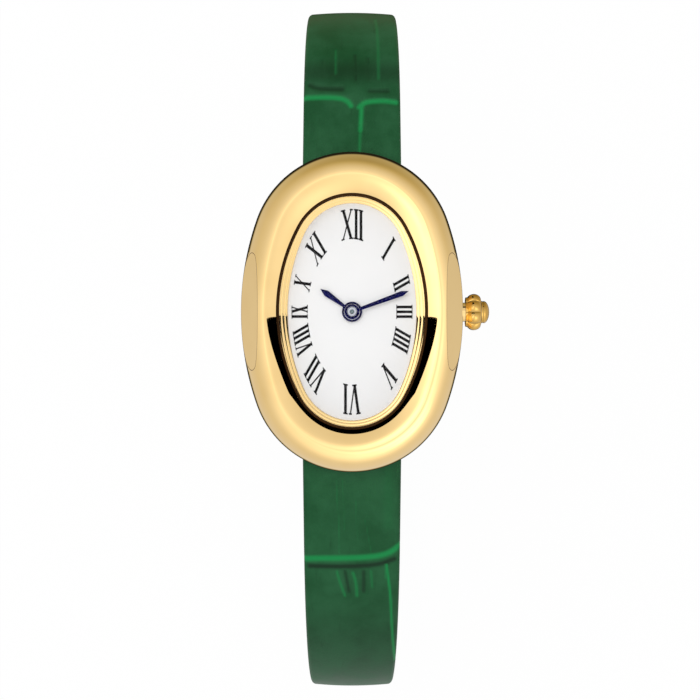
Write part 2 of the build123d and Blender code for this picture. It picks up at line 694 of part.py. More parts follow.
# Centre wheel on the foot of the cannon pinion
with BuildPart() as centre_wheel:
    with BuildSketch(Plane.XY.offset(CENTRE_LEVEL)):
        gear_face(TRAIN_MODULE, CENTRE_TEETH, CANNON_RADIUS + SEAT_GAP)
    extrude(amount=WHEEL_THICKNESS)
save(centre_wheel.part, "centre_wheel")

# Hour wheel and its pipe
with BuildPart() as hour_wheel:
    with BuildSketch(Plane.XY.offset(HOUR_LEVEL)):
        gear_face(HOUR_MODULE, HOUR_TEETH)
    extrude(amount=WHEEL_THICKNESS)
    with BuildSketch(Plane.XY.offset(HOUR_LEVEL)):
        Circle(HOUR_PIPE_RADIUS)
    extrude(amount=HOUR_PIPE_TOP - HOUR_LEVEL)
    with BuildSketch():
        Circle(CANNON_RADIUS + RUNNING_GAP)
    extrude(amount=HOUR_PIPE_TOP + OVERRUN, mode=Mode.SUBTRACT)
save(hour_wheel.part, "hour_wheel")

# Minute wheel and its pinion on their stud
with BuildPart() as minute_wheel:
    with BuildSketch(Plane(origin=(MINUTE[0], MINUTE[1], MOTION_LEVEL))):
        gear_face(MOTION_MODULE, MINUTE_TEETH, STUD_RADIUS + RUNNING_GAP)
    extrude(amount=WHEEL_THICKNESS)
    with BuildSketch(Plane(origin=(MINUTE[0], MINUTE[1], MOTION_LEVEL + WHEEL_THICKNESS))):
        gear_face(HOUR_MODULE, MINUTE_PINION_TEETH, STUD_RADIUS + RUNNING_GAP)
    extrude(amount=WHEEL_THICKNESS + LEVEL_GAP)
save(minute_wheel.part, "minute_wheel")

# Setting wheel between the minute wheel and the stem
with BuildPart() as setting_wheel:
    with BuildSketch(Plane(origin=(SETTING[0], SETTING[1], MOTION_LEVEL))):
        gear_face(MOTION_MODULE, SETTING_TEETH, STUD_RADIUS + RUNNING_GAP)
    extrude(amount=WHEEL_THICKNESS)
save(setting_wheel.part, "setting_wheel")

# Main plate: pockets for the motion work, studs for its wheels, arbor holes and a stem bearing
with BuildPart() as main_plate:
    with BuildSketch(Plane.XY.offset(PLATE_FLOOR)):
        RectangleRounded(2 * MOVEMENT_HALF_WIDTH, 2 * MOVEMENT_HALF_LENGTH, MOVEMENT_CORNER_RADIUS)
    extrude(amount=PLATE_TOP - PLATE_FLOOR)
    with BuildSketch(Plane.XY.offset(POCKET_FLOOR)):
        Circle(HOUR_MODULE * (HOUR_TEETH + TOOTH_DEPTH_SHARE) / 2 + SOFT_GAP)
        with Locations(MINUTE):
            Circle(MOTION_MODULE * (MINUTE_TEETH + TOOTH_DEPTH_SHARE) / 2 + SOFT_GAP)
        with Locations(SETTING):
            Circle(MOTION_MODULE * (SETTING_TEETH + TOOTH_DEPTH_SHARE) / 2 + SOFT_GAP)
    extrude(amount=PLATE_TOP, mode=Mode.SUBTRACT)
    with BuildSketch(Plane.XY.offset(PLATE_FLOOR)):
        with Locations(MINUTE, SETTING):
            Circle(STUD_RADIUS)
    extrude(amount=HOUR_LEVEL + WHEEL_THICKNESS - PLATE_FLOOR)
    with BuildSketch(Plane.XY.offset(LEVER_FLOOR - LEVEL_GAP)):
        with Locations((LEVER_PIVOT_X, LEVER_PIVOT_Y)):
            Circle(STUD_RADIUS)
    extrude(amount=PLATE_FLOOR - LEVER_FLOOR + LEVEL_GAP)
    bearing_length = MOVEMENT_HALF_WIDTH - BEARING_INNER_X
    with Locations((BEARING_INNER_X + bearing_length / 2, 0, PLATE_FLOOR - BEARING_DROP / 2)):
        Box(bearing_length, 2 * BEARING_HALF_WIDTH, BEARING_DROP)
    with BuildSketch(Plane.YZ):
        with Locations((0, STEM_Z)):
            Circle(STEM_RADIUS + RUNNING_GAP)
    extrude(amount=CASE_HALF_WIDTH, mode=Mode.SUBTRACT)
    with BuildSketch(Plane.YZ.offset(CLUTCH_INNER_X - SOFT_GAP)):
        with Locations((0, STEM_Z)):
            Circle(CLUTCH_RADIUS + SOFT_GAP)
    extrude(amount=CLUTCH_LENGTH + 2 * SOFT_GAP, mode=Mode.SUBTRACT)
    with BuildSketch():
        Circle(CANNON_RADIUS + RUNNING_GAP)
        with Locations(THIRD, INTERMEDIATE, ROTOR):
            Circle(ARBOR_RADIUS + RUNNING_GAP)
        with Locations((DIAL_FOOT_X, DIAL_FOOT_Y), (-DIAL_FOOT_X, DIAL_FOOT_Y)):
            Circle(DIAL_FOOT_RADIUS + SEAT_GAP)
        with Locations(*POST_PLACES):
            Circle(SCREW_RADIUS + SEAT_GAP)
    extrude(amount=PLATE_TOP, mode=Mode.SUBTRACT)
save(main_plate.part, "main_plate")

# Train bridge: a plate on three posts over the wheels
with BuildPart() as train_bridge:
    bridge_left = POST_PLACES[0][0] - POST_RADIUS
    bridge_right = POST_PLACES[2][0] + POST_RADIUS
    bridge_lower = POST_PLACES[2][1] - POST_RADIUS
    bridge_upper = POST_PLACES[1][1] + POST_RADIUS
    with BuildSketch(Plane.XY.offset(BRIDGE_FLOOR)):
        with Locations(((bridge_left + bridge_right) / 2, (bridge_lower + bridge_upper) / 2)):
            RectangleRounded(bridge_right - bridge_left, bridge_upper - bridge_lower, POST_RADIUS)
        with Locations((BATTERY_X, BATTERY_Y)):
            Circle(BATTERY_RADIUS + SOFT_GAP, mode=Mode.SUBTRACT)
    extrude(amount=BRIDGE_TOP - BRIDGE_FLOOR)
    with BuildSketch(Plane.XY.offset(BRIDGE_FLOOR)):
        with Locations(*POST_PLACES):
            Circle(POST_RADIUS)
    extrude(amount=PLATE_FLOOR - BRIDGE_FLOOR)
    with BuildSketch():
        Circle(STUD_RADIUS + SEAT_GAP)
        with Locations(THIRD, INTERMEDIATE, ROTOR):
            Circle(ARBOR_RADIUS + RUNNING_GAP)
        with Locations(*POST_PLACES):
            Circle(SCREW_RADIUS + SEAT_GAP)
    extrude(amount=PLATE_TOP, mode=Mode.SUBTRACT)
save(train_bridge.part, "train_bridge")

# Movement screws: slotted heads under the bridge, threads up into the main plate
with BuildPart() as movement_screws:
    with BuildSketch(Plane.XY.offset(BRIDGE_FLOOR)):
        with Locations(*POST_PLACES):
            Circle(SCREW_RADIUS)
    extrude(amount=PLATE_FLOOR + SCREW_DEPTH - BRIDGE_FLOOR)
    with BuildSketch(Plane.XY.offset(BRIDGE_FLOOR - SCREW_HEAD_HEIGHT)):
        with Locations(*POST_PLACES):
            Circle(SCREW_HEAD_RADIUS)
            Rectangle(SCREW_SLOT, 2 * SCREW_HEAD_RADIUS + OVERRUN, mode=Mode.SUBTRACT)
    extrude(amount=SCREW_HEAD_HEIGHT)
save(movement_screws.part, "movement_screws")

# Third wheel: wheel below, pinion in mesh with the centre wheel
with BuildPart() as third_wheel:
    with BuildSketch(Plane(origin=(THIRD[0], THIRD[1], THIRD_LEVEL))):
        gear_face(TRAIN_MODULE, THIRD_TEETH)
    extrude(amount=WHEEL_THICKNESS)
    with BuildSketch(Plane(origin=(THIRD[0], THIRD[1], THIRD_LEVEL))):
        gear_face(TRAIN_MODULE, PINION_TEETH)
    extrude(amount=CENTRE_LEVEL + WHEEL_THICKNESS - THIRD_LEVEL)
    with BuildSketch(Plane(origin=(THIRD[0], THIRD[1], ARBOR_BASE))):
        Circle(ARBOR_RADIUS)
    extrude(amount=ARBOR_TOP - ARBOR_BASE)
save(third_wheel.part, "third_wheel")

# Intermediate wheel: wheel below, pinion in mesh with the third wheel
with BuildPart() as intermediate_wheel:
    with BuildSketch(Plane(origin=(INTERMEDIATE[0], INTERMEDIATE[1], INTERMEDIATE_LEVEL))):
        gear_face(TRAIN_MODULE, INTERMEDIATE_TEETH)
    extrude(amount=WHEEL_THICKNESS)
    with BuildSketch(Plane(origin=(INTERMEDIATE[0], INTERMEDIATE[1], INTERMEDIATE_LEVEL))):
        gear_face(TRAIN_MODULE, PINION_TEETH)
    extrude(amount=THIRD_LEVEL + WHEEL_THICKNESS - INTERMEDIATE_LEVEL)
    with BuildSketch(Plane(origin=(INTERMEDIATE[0], INTERMEDIATE[1], ARBOR_BASE))):
        Circle(ARBOR_RADIUS)
    extrude(amount=ARBOR_TOP - ARBOR_BASE)
save(intermediate_wheel.part, "intermediate_wheel")

# Rotor: a magnet disc over its pinion
with BuildPart() as rotor:
    with BuildSketch(Plane(origin=(ROTOR[0], ROTOR[1], ROTOR_FLOOR))):
        Circle(ROTOR_RADIUS)
    extrude(amount=ROTOR_HEIGHT)
    with BuildSketch(Plane(origin=(ROTOR[0], ROTOR[1], INTERMEDIATE_LEVEL))):
        gear_face(TRAIN_MODULE, ROTOR_TEETH)
    extrude(amount=WHEEL_THICKNESS)
    with BuildSketch(Plane(origin=(ROTOR[0], ROTOR[1], ARBOR_BASE))):
        Circle(ARBOR_RADIUS)
    extrude(amount=ARBOR_TOP - ARBOR_BASE)
save(rotor.part, "rotor")

# Stator: a plate round the rotor with a leg to each end of the coil core
with BuildPart() as stator:
    with BuildSketch(Plane.XY.offset(ROTOR_FLOOR)):
        with Locations((0, (STATOR_LOWER_Y + STATOR_UPPER_Y) / 2)):
            Rectangle(2 * STATOR_HALF_WIDTH, STATOR_UPPER_Y - STATOR_LOWER_Y)
        with Locations((0, STATOR_LEG_Y + OVERRUN)):
            Rectangle(2 * STATOR_LEG_X, 2 * OVERRUN, mode=Mode.SUBTRACT)
        with Locations((0, STATOR_UPPER_Y)):
            Rectangle(2 * STATOR_LEG_X, 2 * OVERRUN, mode=Mode.SUBTRACT)
        with Locations(ROTOR):
            Circle(ROTOR_RADIUS + ROTOR_HOLE_GAP, mode=Mode.SUBTRACT)
        with Locations(INTERMEDIATE):
            Circle(SHAFT_PASSAGE_RADIUS, mode=Mode.SUBTRACT)
        with Locations(POST_PLACES[1]):
            Circle(POST_RADIUS + SOFT_GAP, mode=Mode.SUBTRACT)
        with Locations((DIAL_FOOT_X, DIAL_FOOT_Y), (-DIAL_FOOT_X, DIAL_FOOT_Y)):
            Circle(DIAL_FOOT_RADIUS + SOFT_GAP, mode=Mode.SUBTRACT)
    extrude(amount=ROTOR_HEIGHT)
save(stator.part, "stator")

# Coil core: a flat bar with its ends under the stator legs
with BuildPart() as coil_core:
    with Locations((0, COIL_Y, COIL_Z)):
        Box(2 * STATOR_HALF_WIDTH, 2 * CORE_HALF_WIDTH, 2 * CORE_HALF_WIDTH)
save(coil_core.part, "coil_core")

# Coil winding round the core
with BuildPart() as coil:
    with BuildSketch(Plane.YZ):
        with Locations((COIL_Y, COIL_Z)):
            Circle(COIL_RADIUS)
            Rectangle(
                2 * (CORE_HALF_WIDTH + SEAT_GAP), 2 * (CORE_HALF_WIDTH + SEAT_GAP), mode=Mode.SUBTRACT
            )
    extrude(amount=COIL_HALF_LENGTH, both=True)
save(coil.part, "coil")

# Button battery: a can and a smaller lid
with BuildPart() as battery:
    with BuildSketch(Plane(origin=(BATTERY_X, BATTERY_Y, BATTERY_FLOOR))):
        Circle(BATTERY_RADIUS)
    extrude(amount=BATTERY_CAN_HEIGHT)
    with BuildSketch(Plane(origin=(BATTERY_X, BATTERY_Y, BATTERY_FLOOR + BATTERY_CAN_HEIGHT))):
        Circle(BATTERY_LID_RADIUS)
    extrude(amount=BATTERY_LID_HEIGHT)
save(battery.part, "battery")

# Battery clamp: a spring leaf over the battery that reaches to the bridge
with BuildPart() as battery_clamp:
    with BuildSketch(Plane(origin=(BATTERY_X, BATTERY_Y, HOLDER_FLOOR - CLAMP_THICKNESS))):
        Circle(CLAMP_ARM_WIDTH)
        with Locations((0, CLAMP_ARM_LENGTH / 2)):
            Rectangle(CLAMP_ARM_WIDTH, CLAMP_ARM_LENGTH)
    extrude(amount=CLAMP_THICKNESS)
save(battery_clamp.part, "battery_clamp")

# Circuit board
with BuildPart() as circuit_board:
    board_x = (BOARD_LEFT_X + BOARD_RIGHT_X) / 2
    board_y = (BOARD_LOWER_Y + BOARD_UPPER_Y) / 2
    with BuildSketch(Plane.XY.offset(BOARD_FLOOR)):
        with Locations((board_x, board_y)):
            RectangleRounded(
                BOARD_RIGHT_X - BOARD_LEFT_X, BOARD_UPPER_Y - BOARD_LOWER_Y, BOARD_THICKNESS
            )
        with Locations((BATTERY_X, BATTERY_Y)):
            Circle(BATTERY_RADIUS + SOFT_GAP, mode=Mode.SUBTRACT)
    extrude(amount=BOARD_THICKNESS)
save(circuit_board.part, "circuit_board")

# Timing chip on the board
with BuildPart() as chip:
    with Locations((CHIP_X, CHIP_Y, BOARD_FLOOR + BOARD_THICKNESS + CHIP_HEIGHT / 2)):
        Box(CHIP_SIDE, CHIP_SIDE, CHIP_HEIGHT)
save(chip.part, "chip")

# Quartz resonator can on the board
with BuildPart() as quartz_resonator:
    resonator_z = BOARD_FLOOR + BOARD_THICKNESS + RESONATOR_RADIUS
    with BuildSketch(Plane.YZ.offset(RESONATOR_X)):
        with Locations((RESONATOR_Y, resonator_z)):
            Circle(RESONATOR_RADIUS)
    extrude(amount=RESONATOR_LENGTH / 2, both=True)
save(quartz_resonator.part, "quartz_resonator")

# Movement holder: a plastic ring between the movement and the case bore
with BuildPart() as movement_holder:
    with BuildSketch(Plane.XY.offset(HOLDER_FLOOR)):
        RectangleRounded(
            2 * (BORE_HALF_WIDTH - SEAT_GAP), 2 * (BORE_HALF_LENGTH - SEAT_GAP), BORE_CORNER_RADIUS - SEAT_GAP
        )
        RectangleRounded(
            2 * (MOVEMENT_HALF_WIDTH + SEAT_GAP),
            2 * (MOVEMENT_HALF_LENGTH + SEAT_GAP),
            MOVEMENT_CORNER_RADIUS + SEAT_GAP,
            mode=Mode.SUBTRACT,
        )
    extrude(amount=PLATE_TOP - HOLDER_FLOOR)
    with BuildSketch(Plane.YZ):
        with Locations((0, STEM_Z)):
            Circle(STEM_RADIUS + RUNNING_GAP)
    extrude(amount=CASE_HALF_WIDTH, mode=Mode.SUBTRACT)
save(movement_holder.part, "movement_holder")

# Clutch wheel: a square bore on the stem and face teeth
with BuildPart() as clutch_wheel:
    with BuildSketch(Plane.YZ.offset(CLUTCH_INNER_X)):
        with Locations((0, STEM_Z)):
            Circle(CLUTCH_RADIUS)
            Rectangle(STEM_SQUARE + 2 * RUNNING_GAP, STEM_SQUARE + 2 * RUNNING_GAP, mode=Mode.SUBTRACT)
    extrude(amount=CLUTCH_LENGTH)
    with BuildSketch(Plane.YZ.offset(CLUTCH_INNER_X)):
        with Locations((0, STEM_Z)):
            with PolarLocations(CLUTCH_RADIUS, CLUTCH_TEETH):
                Circle(CLUTCH_RADIUS / CLUTCH_TEETH)
    extrude(amount=CLUTCH_LENGTH / 2, mode=Mode.SUBTRACT)
save(clutch_wheel.part, "clutch_wheel")

# Stem: square inner end, lever groove, round shank
with BuildPart() as stem:
    with BuildSketch(Plane.YZ.offset(STEM_INNER_X)):
        with Locations((0, STEM_Z)):
            Rectangle(STEM_SQUARE, STEM_SQUARE)
    extrude(amount=GROOVE_INNER_X - STEM_INNER_X)
    with BuildSketch(Plane.YZ.offset(GROOVE_INNER_X)):
        with Locations((0, STEM_Z)):
            Circle(GROOVE_RADIUS)
    extrude(amount=GROOVE_OUTER_X - GROOVE_INNER_X)
    with BuildSketch(Plane.YZ.offset(GROOVE_OUTER_X)):
        with Locations((0, STEM_Z)):
            Circle(STEM_RADIUS)
    extrude(amount=CROWN_HUB_X - GROOVE_OUTER_X)
save(stem.part, "stem")

# Setting lever: an arm on a stud with a pin in the stem's groove
with BuildPart() as setting_lever:
    lever_middle = ((LEVER_PIVOT_X + LEVER_PIN_X) / 2, (LEVER_PIVOT_Y + LEVER_PIN_Y) / 2)
    with BuildSketch(Plane.XY.offset(LEVER_FLOOR)):
        with Locations(Location((lever_middle[0], lever_middle[1], 0), (0, 0, -LEVER_REST_TURN))):
            SlotCenterToCenter(LEVER_REACH, LEVER_WIDTH, rotation=90)
        with Locations((LEVER_PIVOT_X, LEVER_PIVOT_Y)):
            Circle(STUD_RADIUS + RUNNING_GAP, mode=Mode.SUBTRACT)
    extrude(amount=LEVER_THICKNESS)
    with BuildSketch(Plane.XY.offset(LEVER_FLOOR)):
        with Locations((LEVER_PIN_X, LEVER_PIN_Y)):
            Circle(LEVER_PIN_RADIUS)
    extrude(amount=LEVER_PIN_TOP - LEVER_FLOOR)
save(setting_lever.part, "setting_lever")

# Case tube that guides the stem and seats the crown
with BuildPart() as case_tube:
    with BuildSketch(Plane.YZ.offset(TUBE_INNER_X)):
        with Locations((0, STEM_Z)):
            Circle(TUBE_RADIUS)
            Circle(TUBE_BORE_RADIUS, mode=Mode.SUBTRACT)
    extrude(amount=TUBE_OUTER_X - TUBE_INNER_X)
save(case_tube.part, "case_tube")

# Crown: a lobed bead with a small domed cap, hollow over the tube
CROWN_BEAD_X = CROWN_INNER_X + CROWN_BEAD_LENGTH
CROWN_TIP_X = CROWN_BEAD_X + CROWN_CAP_LENGTH
CROWN_DOME_RADIUS = (CROWN_CAP_RADIUS ** 2 + CROWN_CAP_LENGTH ** 2) / (2 * CROWN_CAP_LENGTH)
CROWN_DOME_TURN = math.asin(CROWN_CAP_RADIUS / CROWN_DOME_RADIUS)
with BuildPart() as crown:
    crown_axis = Axis((0, 0, STEM_Z), (1, 0, 0))
    with BuildSketch(Plane.XZ):
        with BuildLine():
            bead = ThreePointArc(
                (CROWN_INNER_X, STEM_Z + CROWN_RIM_RADIUS),
                (CROWN_INNER_X + CROWN_BEAD_LENGTH / 2, STEM_Z + CROWN_RADIUS),
                (CROWN_BEAD_X, STEM_Z + CROWN_CAP_RADIUS),
            )
            cap = ThreePointArc(
                bead @ 1,
                (
                    CROWN_TIP_X - CROWN_DOME_RADIUS * (1 - math.cos(CROWN_DOME_TURN / 2)),
                    STEM_Z + CROWN_DOME_RADIUS * math.sin(CROWN_DOME_TURN / 2),
                ),
                (CROWN_TIP_X, STEM_Z),
            )
            Polyline(cap @ 1, (CROWN_INNER_X, STEM_Z), bead @ 0)
        make_face()
    revolve(axis=crown_axis)
    with BuildSketch(Plane.YZ.offset(CROWN_INNER_X)):
        with Locations((0, STEM_Z)):
            with PolarLocations(CROWN_RADIUS, CROWN_LOBES):
                Circle(CROWN_GROOVE_RADIUS)
    extrude(amount=CROWN_BEAD_LENGTH, mode=Mode.SUBTRACT)
    with BuildSketch(Plane.YZ.offset(CROWN_INNER_X)):
        with Locations((0, STEM_Z)):
            Circle(TUBE_RADIUS + RUNNING_GAP)
    extrude(
        amount=TUBE_OUTER_X + RUNNING_GAP + CROWN_GASKET_THICKNESS - CROWN_INNER_X, mode=Mode.SUBTRACT
    )
    with BuildSketch(Plane.YZ.offset(CROWN_INNER_X)):
        with Locations((0, STEM_Z)):
            Circle(STEM_RADIUS + SEAT_GAP)
    extrude(amount=CROWN_HUB_X + SEAT_GAP - CROWN_INNER_X, mode=Mode.SUBTRACT)
save(crown.part, "crown")

# Crown gasket at the foot of the crown's hollow
with BuildPart() as crown_gasket:
    with BuildSketch(Plane.YZ.offset(TUBE_OUTER_X + RUNNING_GAP)):
        with Locations((0, STEM_Z)):
            Circle(TUBE_RADIUS)
            Circle(STEM_RADIUS + SEAT_GAP, mode=Mode.SUBTRACT)
    extrude(amount=CROWN_GASKET_THICKNESS - SEAT_GAP)
save(crown_gasket.part, "crown_gasket")

# Spring bars of the strap, one in each slot
with BuildPart() as lug_spring_bars:
    with BuildSketch(Plane.YZ):
        with Locations((BAR_Y, BAR_Z), (-BAR_Y, BAR_Z)):
            Circle(BAR_RADIUS)
    extrude(amount=SLOT_HALF_WIDTH - SEAT_GAP, both=True)
    with BuildSketch(Plane.YZ):
        with Locations((BAR_Y, BAR_Z), (-BAR_Y, BAR_Z)):
            Circle(BAR_PIVOT_RADIUS)
    extrude(amount=SLOT_HALF_WIDTH + BAR_PIVOT_LENGTH - SEAT_GAP, both=True)
save(lug_spring_bars.part, "lug_spring_bars")

# Strap route: from the bar down a short run, round a bend, then level to the end
DROOP_COS = math.cos(math.radians(STRAP_DROOP))
DROOP_SIN = math.sin(math.radians(STRAP_DROOP))
BEND_SHARE = math.radians(180 - STRAP_DROOP)
UPPER_END_RUN = UPPER_LENGTH - UPPER_RUN - UPPER_BEND_RADIUS * BEND_SHARE
LOWER_END_RUN = LOWER_LENGTH - LOWER_RUN - LOWER_BEND_RADIUS * BEND_SHARE
UPPER_CENTRE_Y = BAR_Y + UPPER_RUN * DROOP_COS - UPPER_BEND_RADIUS * DROOP_SIN
UPPER_CENTRE_Z = BAR_Z - UPPER_RUN * DROOP_SIN - UPPER_BEND_RADIUS * DROOP_COS
LOWER_CENTRE_Y = BAR_Y + LOWER_RUN * DROOP_COS - LOWER_BEND_RADIUS * DROOP_SIN
LOWER_CENTRE_Z = BAR_Z - LOWER_RUN * DROOP_SIN - LOWER_BEND_RADIUS * DROOP_COS
BUCKLE_Y = UPPER_CENTRE_Y - UPPER_END_RUN
BUCKLE_Z = UPPER_CENTRE_Z - UPPER_BEND_RADIUS
TIP_Y = LOWER_END_RUN - LOWER_CENTRE_Y


def strap_ribbon(side, start, run, radius, end_run, near, far):
    """Side view of one strap layer between two offsets from the route, in the active sketch."""
    centre_y = BAR_Y + run * DROOP_COS - radius * DROOP_SIN
    centre_z = BAR_Z - run * DROOP_SIN - radius * DROOP_COS
    with BuildLine() as outline:
        ends = []
        for offset in (near, far):
            root = (
                side * (BAR_Y + start * DROOP_COS + offset * DROOP_SIN),
                BAR_Z - start * DROOP_SIN + offset * DROOP_COS,
            )
            first = (
                side * (centre_y + (radius + offset) * DROOP_SIN),
                centre_z + (radius + offset) * DROOP_COS,
            )
            last = (side * centre_y, centre_z - radius - offset)
            tip = (side * (centre_y - end_run), centre_z - radius - offset)
            Line(root, first)
            CenterArc(
                (side * centre_y, centre_z),
                radius + offset,
                90 - side * STRAP_DROOP,
                -side * (180 - STRAP_DROOP),
            )
            Line(last, tip)
            ends.append((root, tip))
        Line(ends[0][0], ends[1][0])
        Line(ends[0][1], ends[1][1])
    make_face(outline.edges())


def strap_width_mask():
    """The strap seen along its length: it narrows evenly from the case down, in the active sketch."""
    drop = STRAP_TAPER_TOP - STRAP_TAPER_BOTTOM
    narrowing = (STRAP_ROOT_HALF_WIDTH - STRAP_END_HALF_WIDTH) / drop
    lower = STRAP_END_HALF_WIDTH
    floor = LOWER_CENTRE_Z - LOWER_BEND_RADIUS - STRAP_HALF_THICKNESS - OVERRUN
    upper = STRAP_ROOT_HALF_WIDTH - narrowing * OVERRUN
    with BuildLine() as outline:
        Polyline(
            (upper, BAR_Z + STRAP_HALF_THICKNESS + OVERRUN),
            (lower, STRAP_TAPER_BOTTOM),
            (lower, floor),
            (-lower, floor),
            (-lower, STRAP_TAPER_BOTTOM),
            (-upper, BAR_Z + STRAP_HALF_THICKNESS + OVERRUN),
            close=True,
        )
    make_face(outline.edges())


LAYER_BREAK = LINING_THICKNESS - STRAP_HALF_THICKNESS
LINING_START = STRAP_HALF_THICKNESS + SOFT_GAP

# Upper strap half, outer leather: wraps both the case's bar and the buckle's bar
with BuildPart() as strap_12_outer:
    with BuildSketch(Plane.YZ):
        strap_ribbon(
            1, 0, UPPER_RUN, UPPER_BEND_RADIUS, UPPER_END_RUN, LAYER_BREAK, STRAP_HALF_THICKNESS
        )
        with Locations((BAR_Y, BAR_Z), (BUCKLE_Y, BUCKLE_Z)):
            Circle(STRAP_HALF_THICKNESS)
        with Locations((BAR_Y, BAR_Z)):
            Circle(BAR_RADIUS + RUNNING_GAP, mode=Mode.SUBTRACT)
        with Locations((BUCKLE_Y, BUCKLE_Z)):
            Circle(BUCKLE_BAR_RADIUS + RUNNING_GAP, mode=Mode.SUBTRACT)
    extrude(amount=STRAP_ROOT_HALF_WIDTH, both=True)
    with BuildSketch(Plane.XZ):
        strap_width_mask()
    extrude(amount=2 * LOWER_LENGTH, both=True, mode=Mode.INTERSECT)
    with Locations((0, BUCKLE_Y + (TANG_SLOT_DEPTH - STRAP_HALF_THICKNESS) / 2 - SOFT_GAP, BUCKLE_Z)):
        Box(
            TANG_WIDTH + 2 * TANG_SLOT_GAP,
            TANG_SLOT_DEPTH + STRAP_HALF_THICKNESS + SOFT_GAP,
            2 * STRAP_HALF_THICKNESS + OVERRUN,
            mode=Mode.SUBTRACT,
        )
save(strap_12_outer.part, "strap_12_outer")

# Upper strap half, lining
with BuildPart() as strap_12_lining:
    with BuildSketch(Plane.YZ):
        strap_ribbon(
            1,
            LINING_START,
            UPPER_RUN,
            UPPER_BEND_RADIUS,
            UPPER_END_RUN - TANG_SLOT_DEPTH,
            -STRAP_HALF_THICKNESS,
            LAYER_BREAK - SEAT_GAP,
        )
    extrude(amount=STRAP_ROOT_HALF_WIDTH, both=True)
    with BuildSketch(Plane.XZ):
        strap_width_mask()
    extrude(amount=2 * LOWER_LENGTH, both=True, mode=Mode.INTERSECT)
save(strap_12_lining.part, "strap_12_lining")


def tip_mask():
    """Plan view of the long half: full width, then a round tip, in the active sketch."""
    tip_centre = TIP_Y - TIP_RADIUS
    length = tip_centre + LOWER_LENGTH
    with Locations((0, tip_centre - length / 2)):
        Rectangle(2 * STRAP_ROOT_HALF_WIDTH + OVERRUN, length)
    with Locations((0, tip_centre)):
        Circle(TIP_RADIUS)


def punch_holes():
    """Adjustment holes through the level run, in the active part."""
    floor = LOWER_CENTRE_Z - LOWER_BEND_RADIUS - STRAP_HALF_THICKNESS - OVERRUN
    with BuildSketch(Plane.XY.offset(floor)) as holes:
        places = [(0, TIP_Y - FIRST_HOLE_FROM_TIP - hole * HOLE_PITCH) for hole in range(HOLE_COUNT)]
        with Locations(*places):
            Circle(HOLE_RADIUS)
    extrude(holes.sketch, amount=2 * (STRAP_HALF_THICKNESS + OVERRUN), mode=Mode.SUBTRACT)


# Lower strap half, outer leather, with its holes and round tip
with BuildPart() as strap_6_outer:
    with BuildSketch(Plane.YZ):
        strap_ribbon(
            -1, 0, LOWER_RUN, LOWER_BEND_RADIUS, LOWER_END_RUN, LAYER_BREAK, STRAP_HALF_THICKNESS
        )
        with Locations((-BAR_Y, BAR_Z)):
            Circle(STRAP_HALF_THICKNESS)
            Circle(BAR_RADIUS + RUNNING_GAP, mode=Mode.SUBTRACT)
    extrude(amount=STRAP_ROOT_HALF_WIDTH, both=True)
    with BuildSketch(Plane.XZ):
        strap_width_mask()
    extrude(amount=2 * LOWER_LENGTH, both=True, mode=Mode.INTERSECT)
    with BuildSketch():
        tip_mask()
    extrude(amount=LOWER_LENGTH, both=True, mode=Mode.INTERSECT)
    punch_holes()
save(strap_6_outer.part, "strap_6_outer")

# Lower strap half, lining
with BuildPart() as strap_6_lining:
    with BuildSketch(Plane.YZ):
        strap_ribbon(
            -1,
            LINING_START,
            LOWER_RUN,
            LOWER_BEND_RADIUS,
            LOWER_END_RUN,
            -STRAP_HALF_THICKNESS,
            LAYER_BREAK - SEAT_GAP,
        )
    extrude(amount=STRAP_ROOT_HALF_WIDTH, both=True)
    with BuildSketch(Plane.XZ):
        strap_width_mask()
    extrude(amount=2 * LOWER_LENGTH, both=True, mode=Mode.INTERSECT)
    with BuildSketch():
        tip_mask()
    extrude(amount=LOWER_LENGTH, both=True, mode=Mode.INTERSECT)
    punch_holes()
save(strap_6_lining.part, "strap_6_lining")

# Keepers: one sewn near the buckle, one that slides
KEEPER_HALF_WIDTH = STRAP_ROOT_HALF_WIDTH - (STRAP_ROOT_HALF_WIDTH - STRAP_END_HALF_WIDTH) * (
    (STRAP_TAPER_TOP - BUCKLE_Z - STRAP_HALF_THICKNESS) / (STRAP_TAPER_TOP - STRAP_TAPER_BOTTOM)
) + 2 * SOFT_GAP
KEEPER_TOP = BUCKLE_Z + STRAP_HALF_THICKNESS + SOFT_GAP
KEEPER_BOTTOM = BUCKLE_Z - STRAP_HALF_THICKNESS - KEEPER_TAIL_ROOM
FIXED_KEEPER_Y = BUCKLE_Y + FIXED_KEEPER_FROM_BAR
LOOSE_KEEPER_Y = FIXED_KEEPER_Y + KEEPER_LENGTH + LOOSE_KEEPER_FROM_FIXED
KEEPERS = (("fixed_keeper", FIXED_KEEPER_Y), ("loose_keeper", LOOSE_KEEPER_Y))
for keeper_name, keeper_y in KEEPERS:
    with BuildPart() as keeper:
        with BuildSketch(Plane.XZ.offset(-keeper_y - KEEPER_LENGTH)):
            with Locations((0, (KEEPER_TOP + KEEPER_BOTTOM) / 2)):
                RectangleRounded(
                    2 * (KEEPER_HALF_WIDTH + KEEPER_WALL),
                    KEEPER_TOP - KEEPER_BOTTOM + 2 * KEEPER_WALL,
                    KEEPER_WALL,
                )
                Rectangle(2 * KEEPER_HALF_WIDTH, KEEPER_TOP - KEEPER_BOTTOM, mode=Mode.SUBTRACT)
        extrude(amount=KEEPER_LENGTH)
    save(keeper.part, keeper_name)

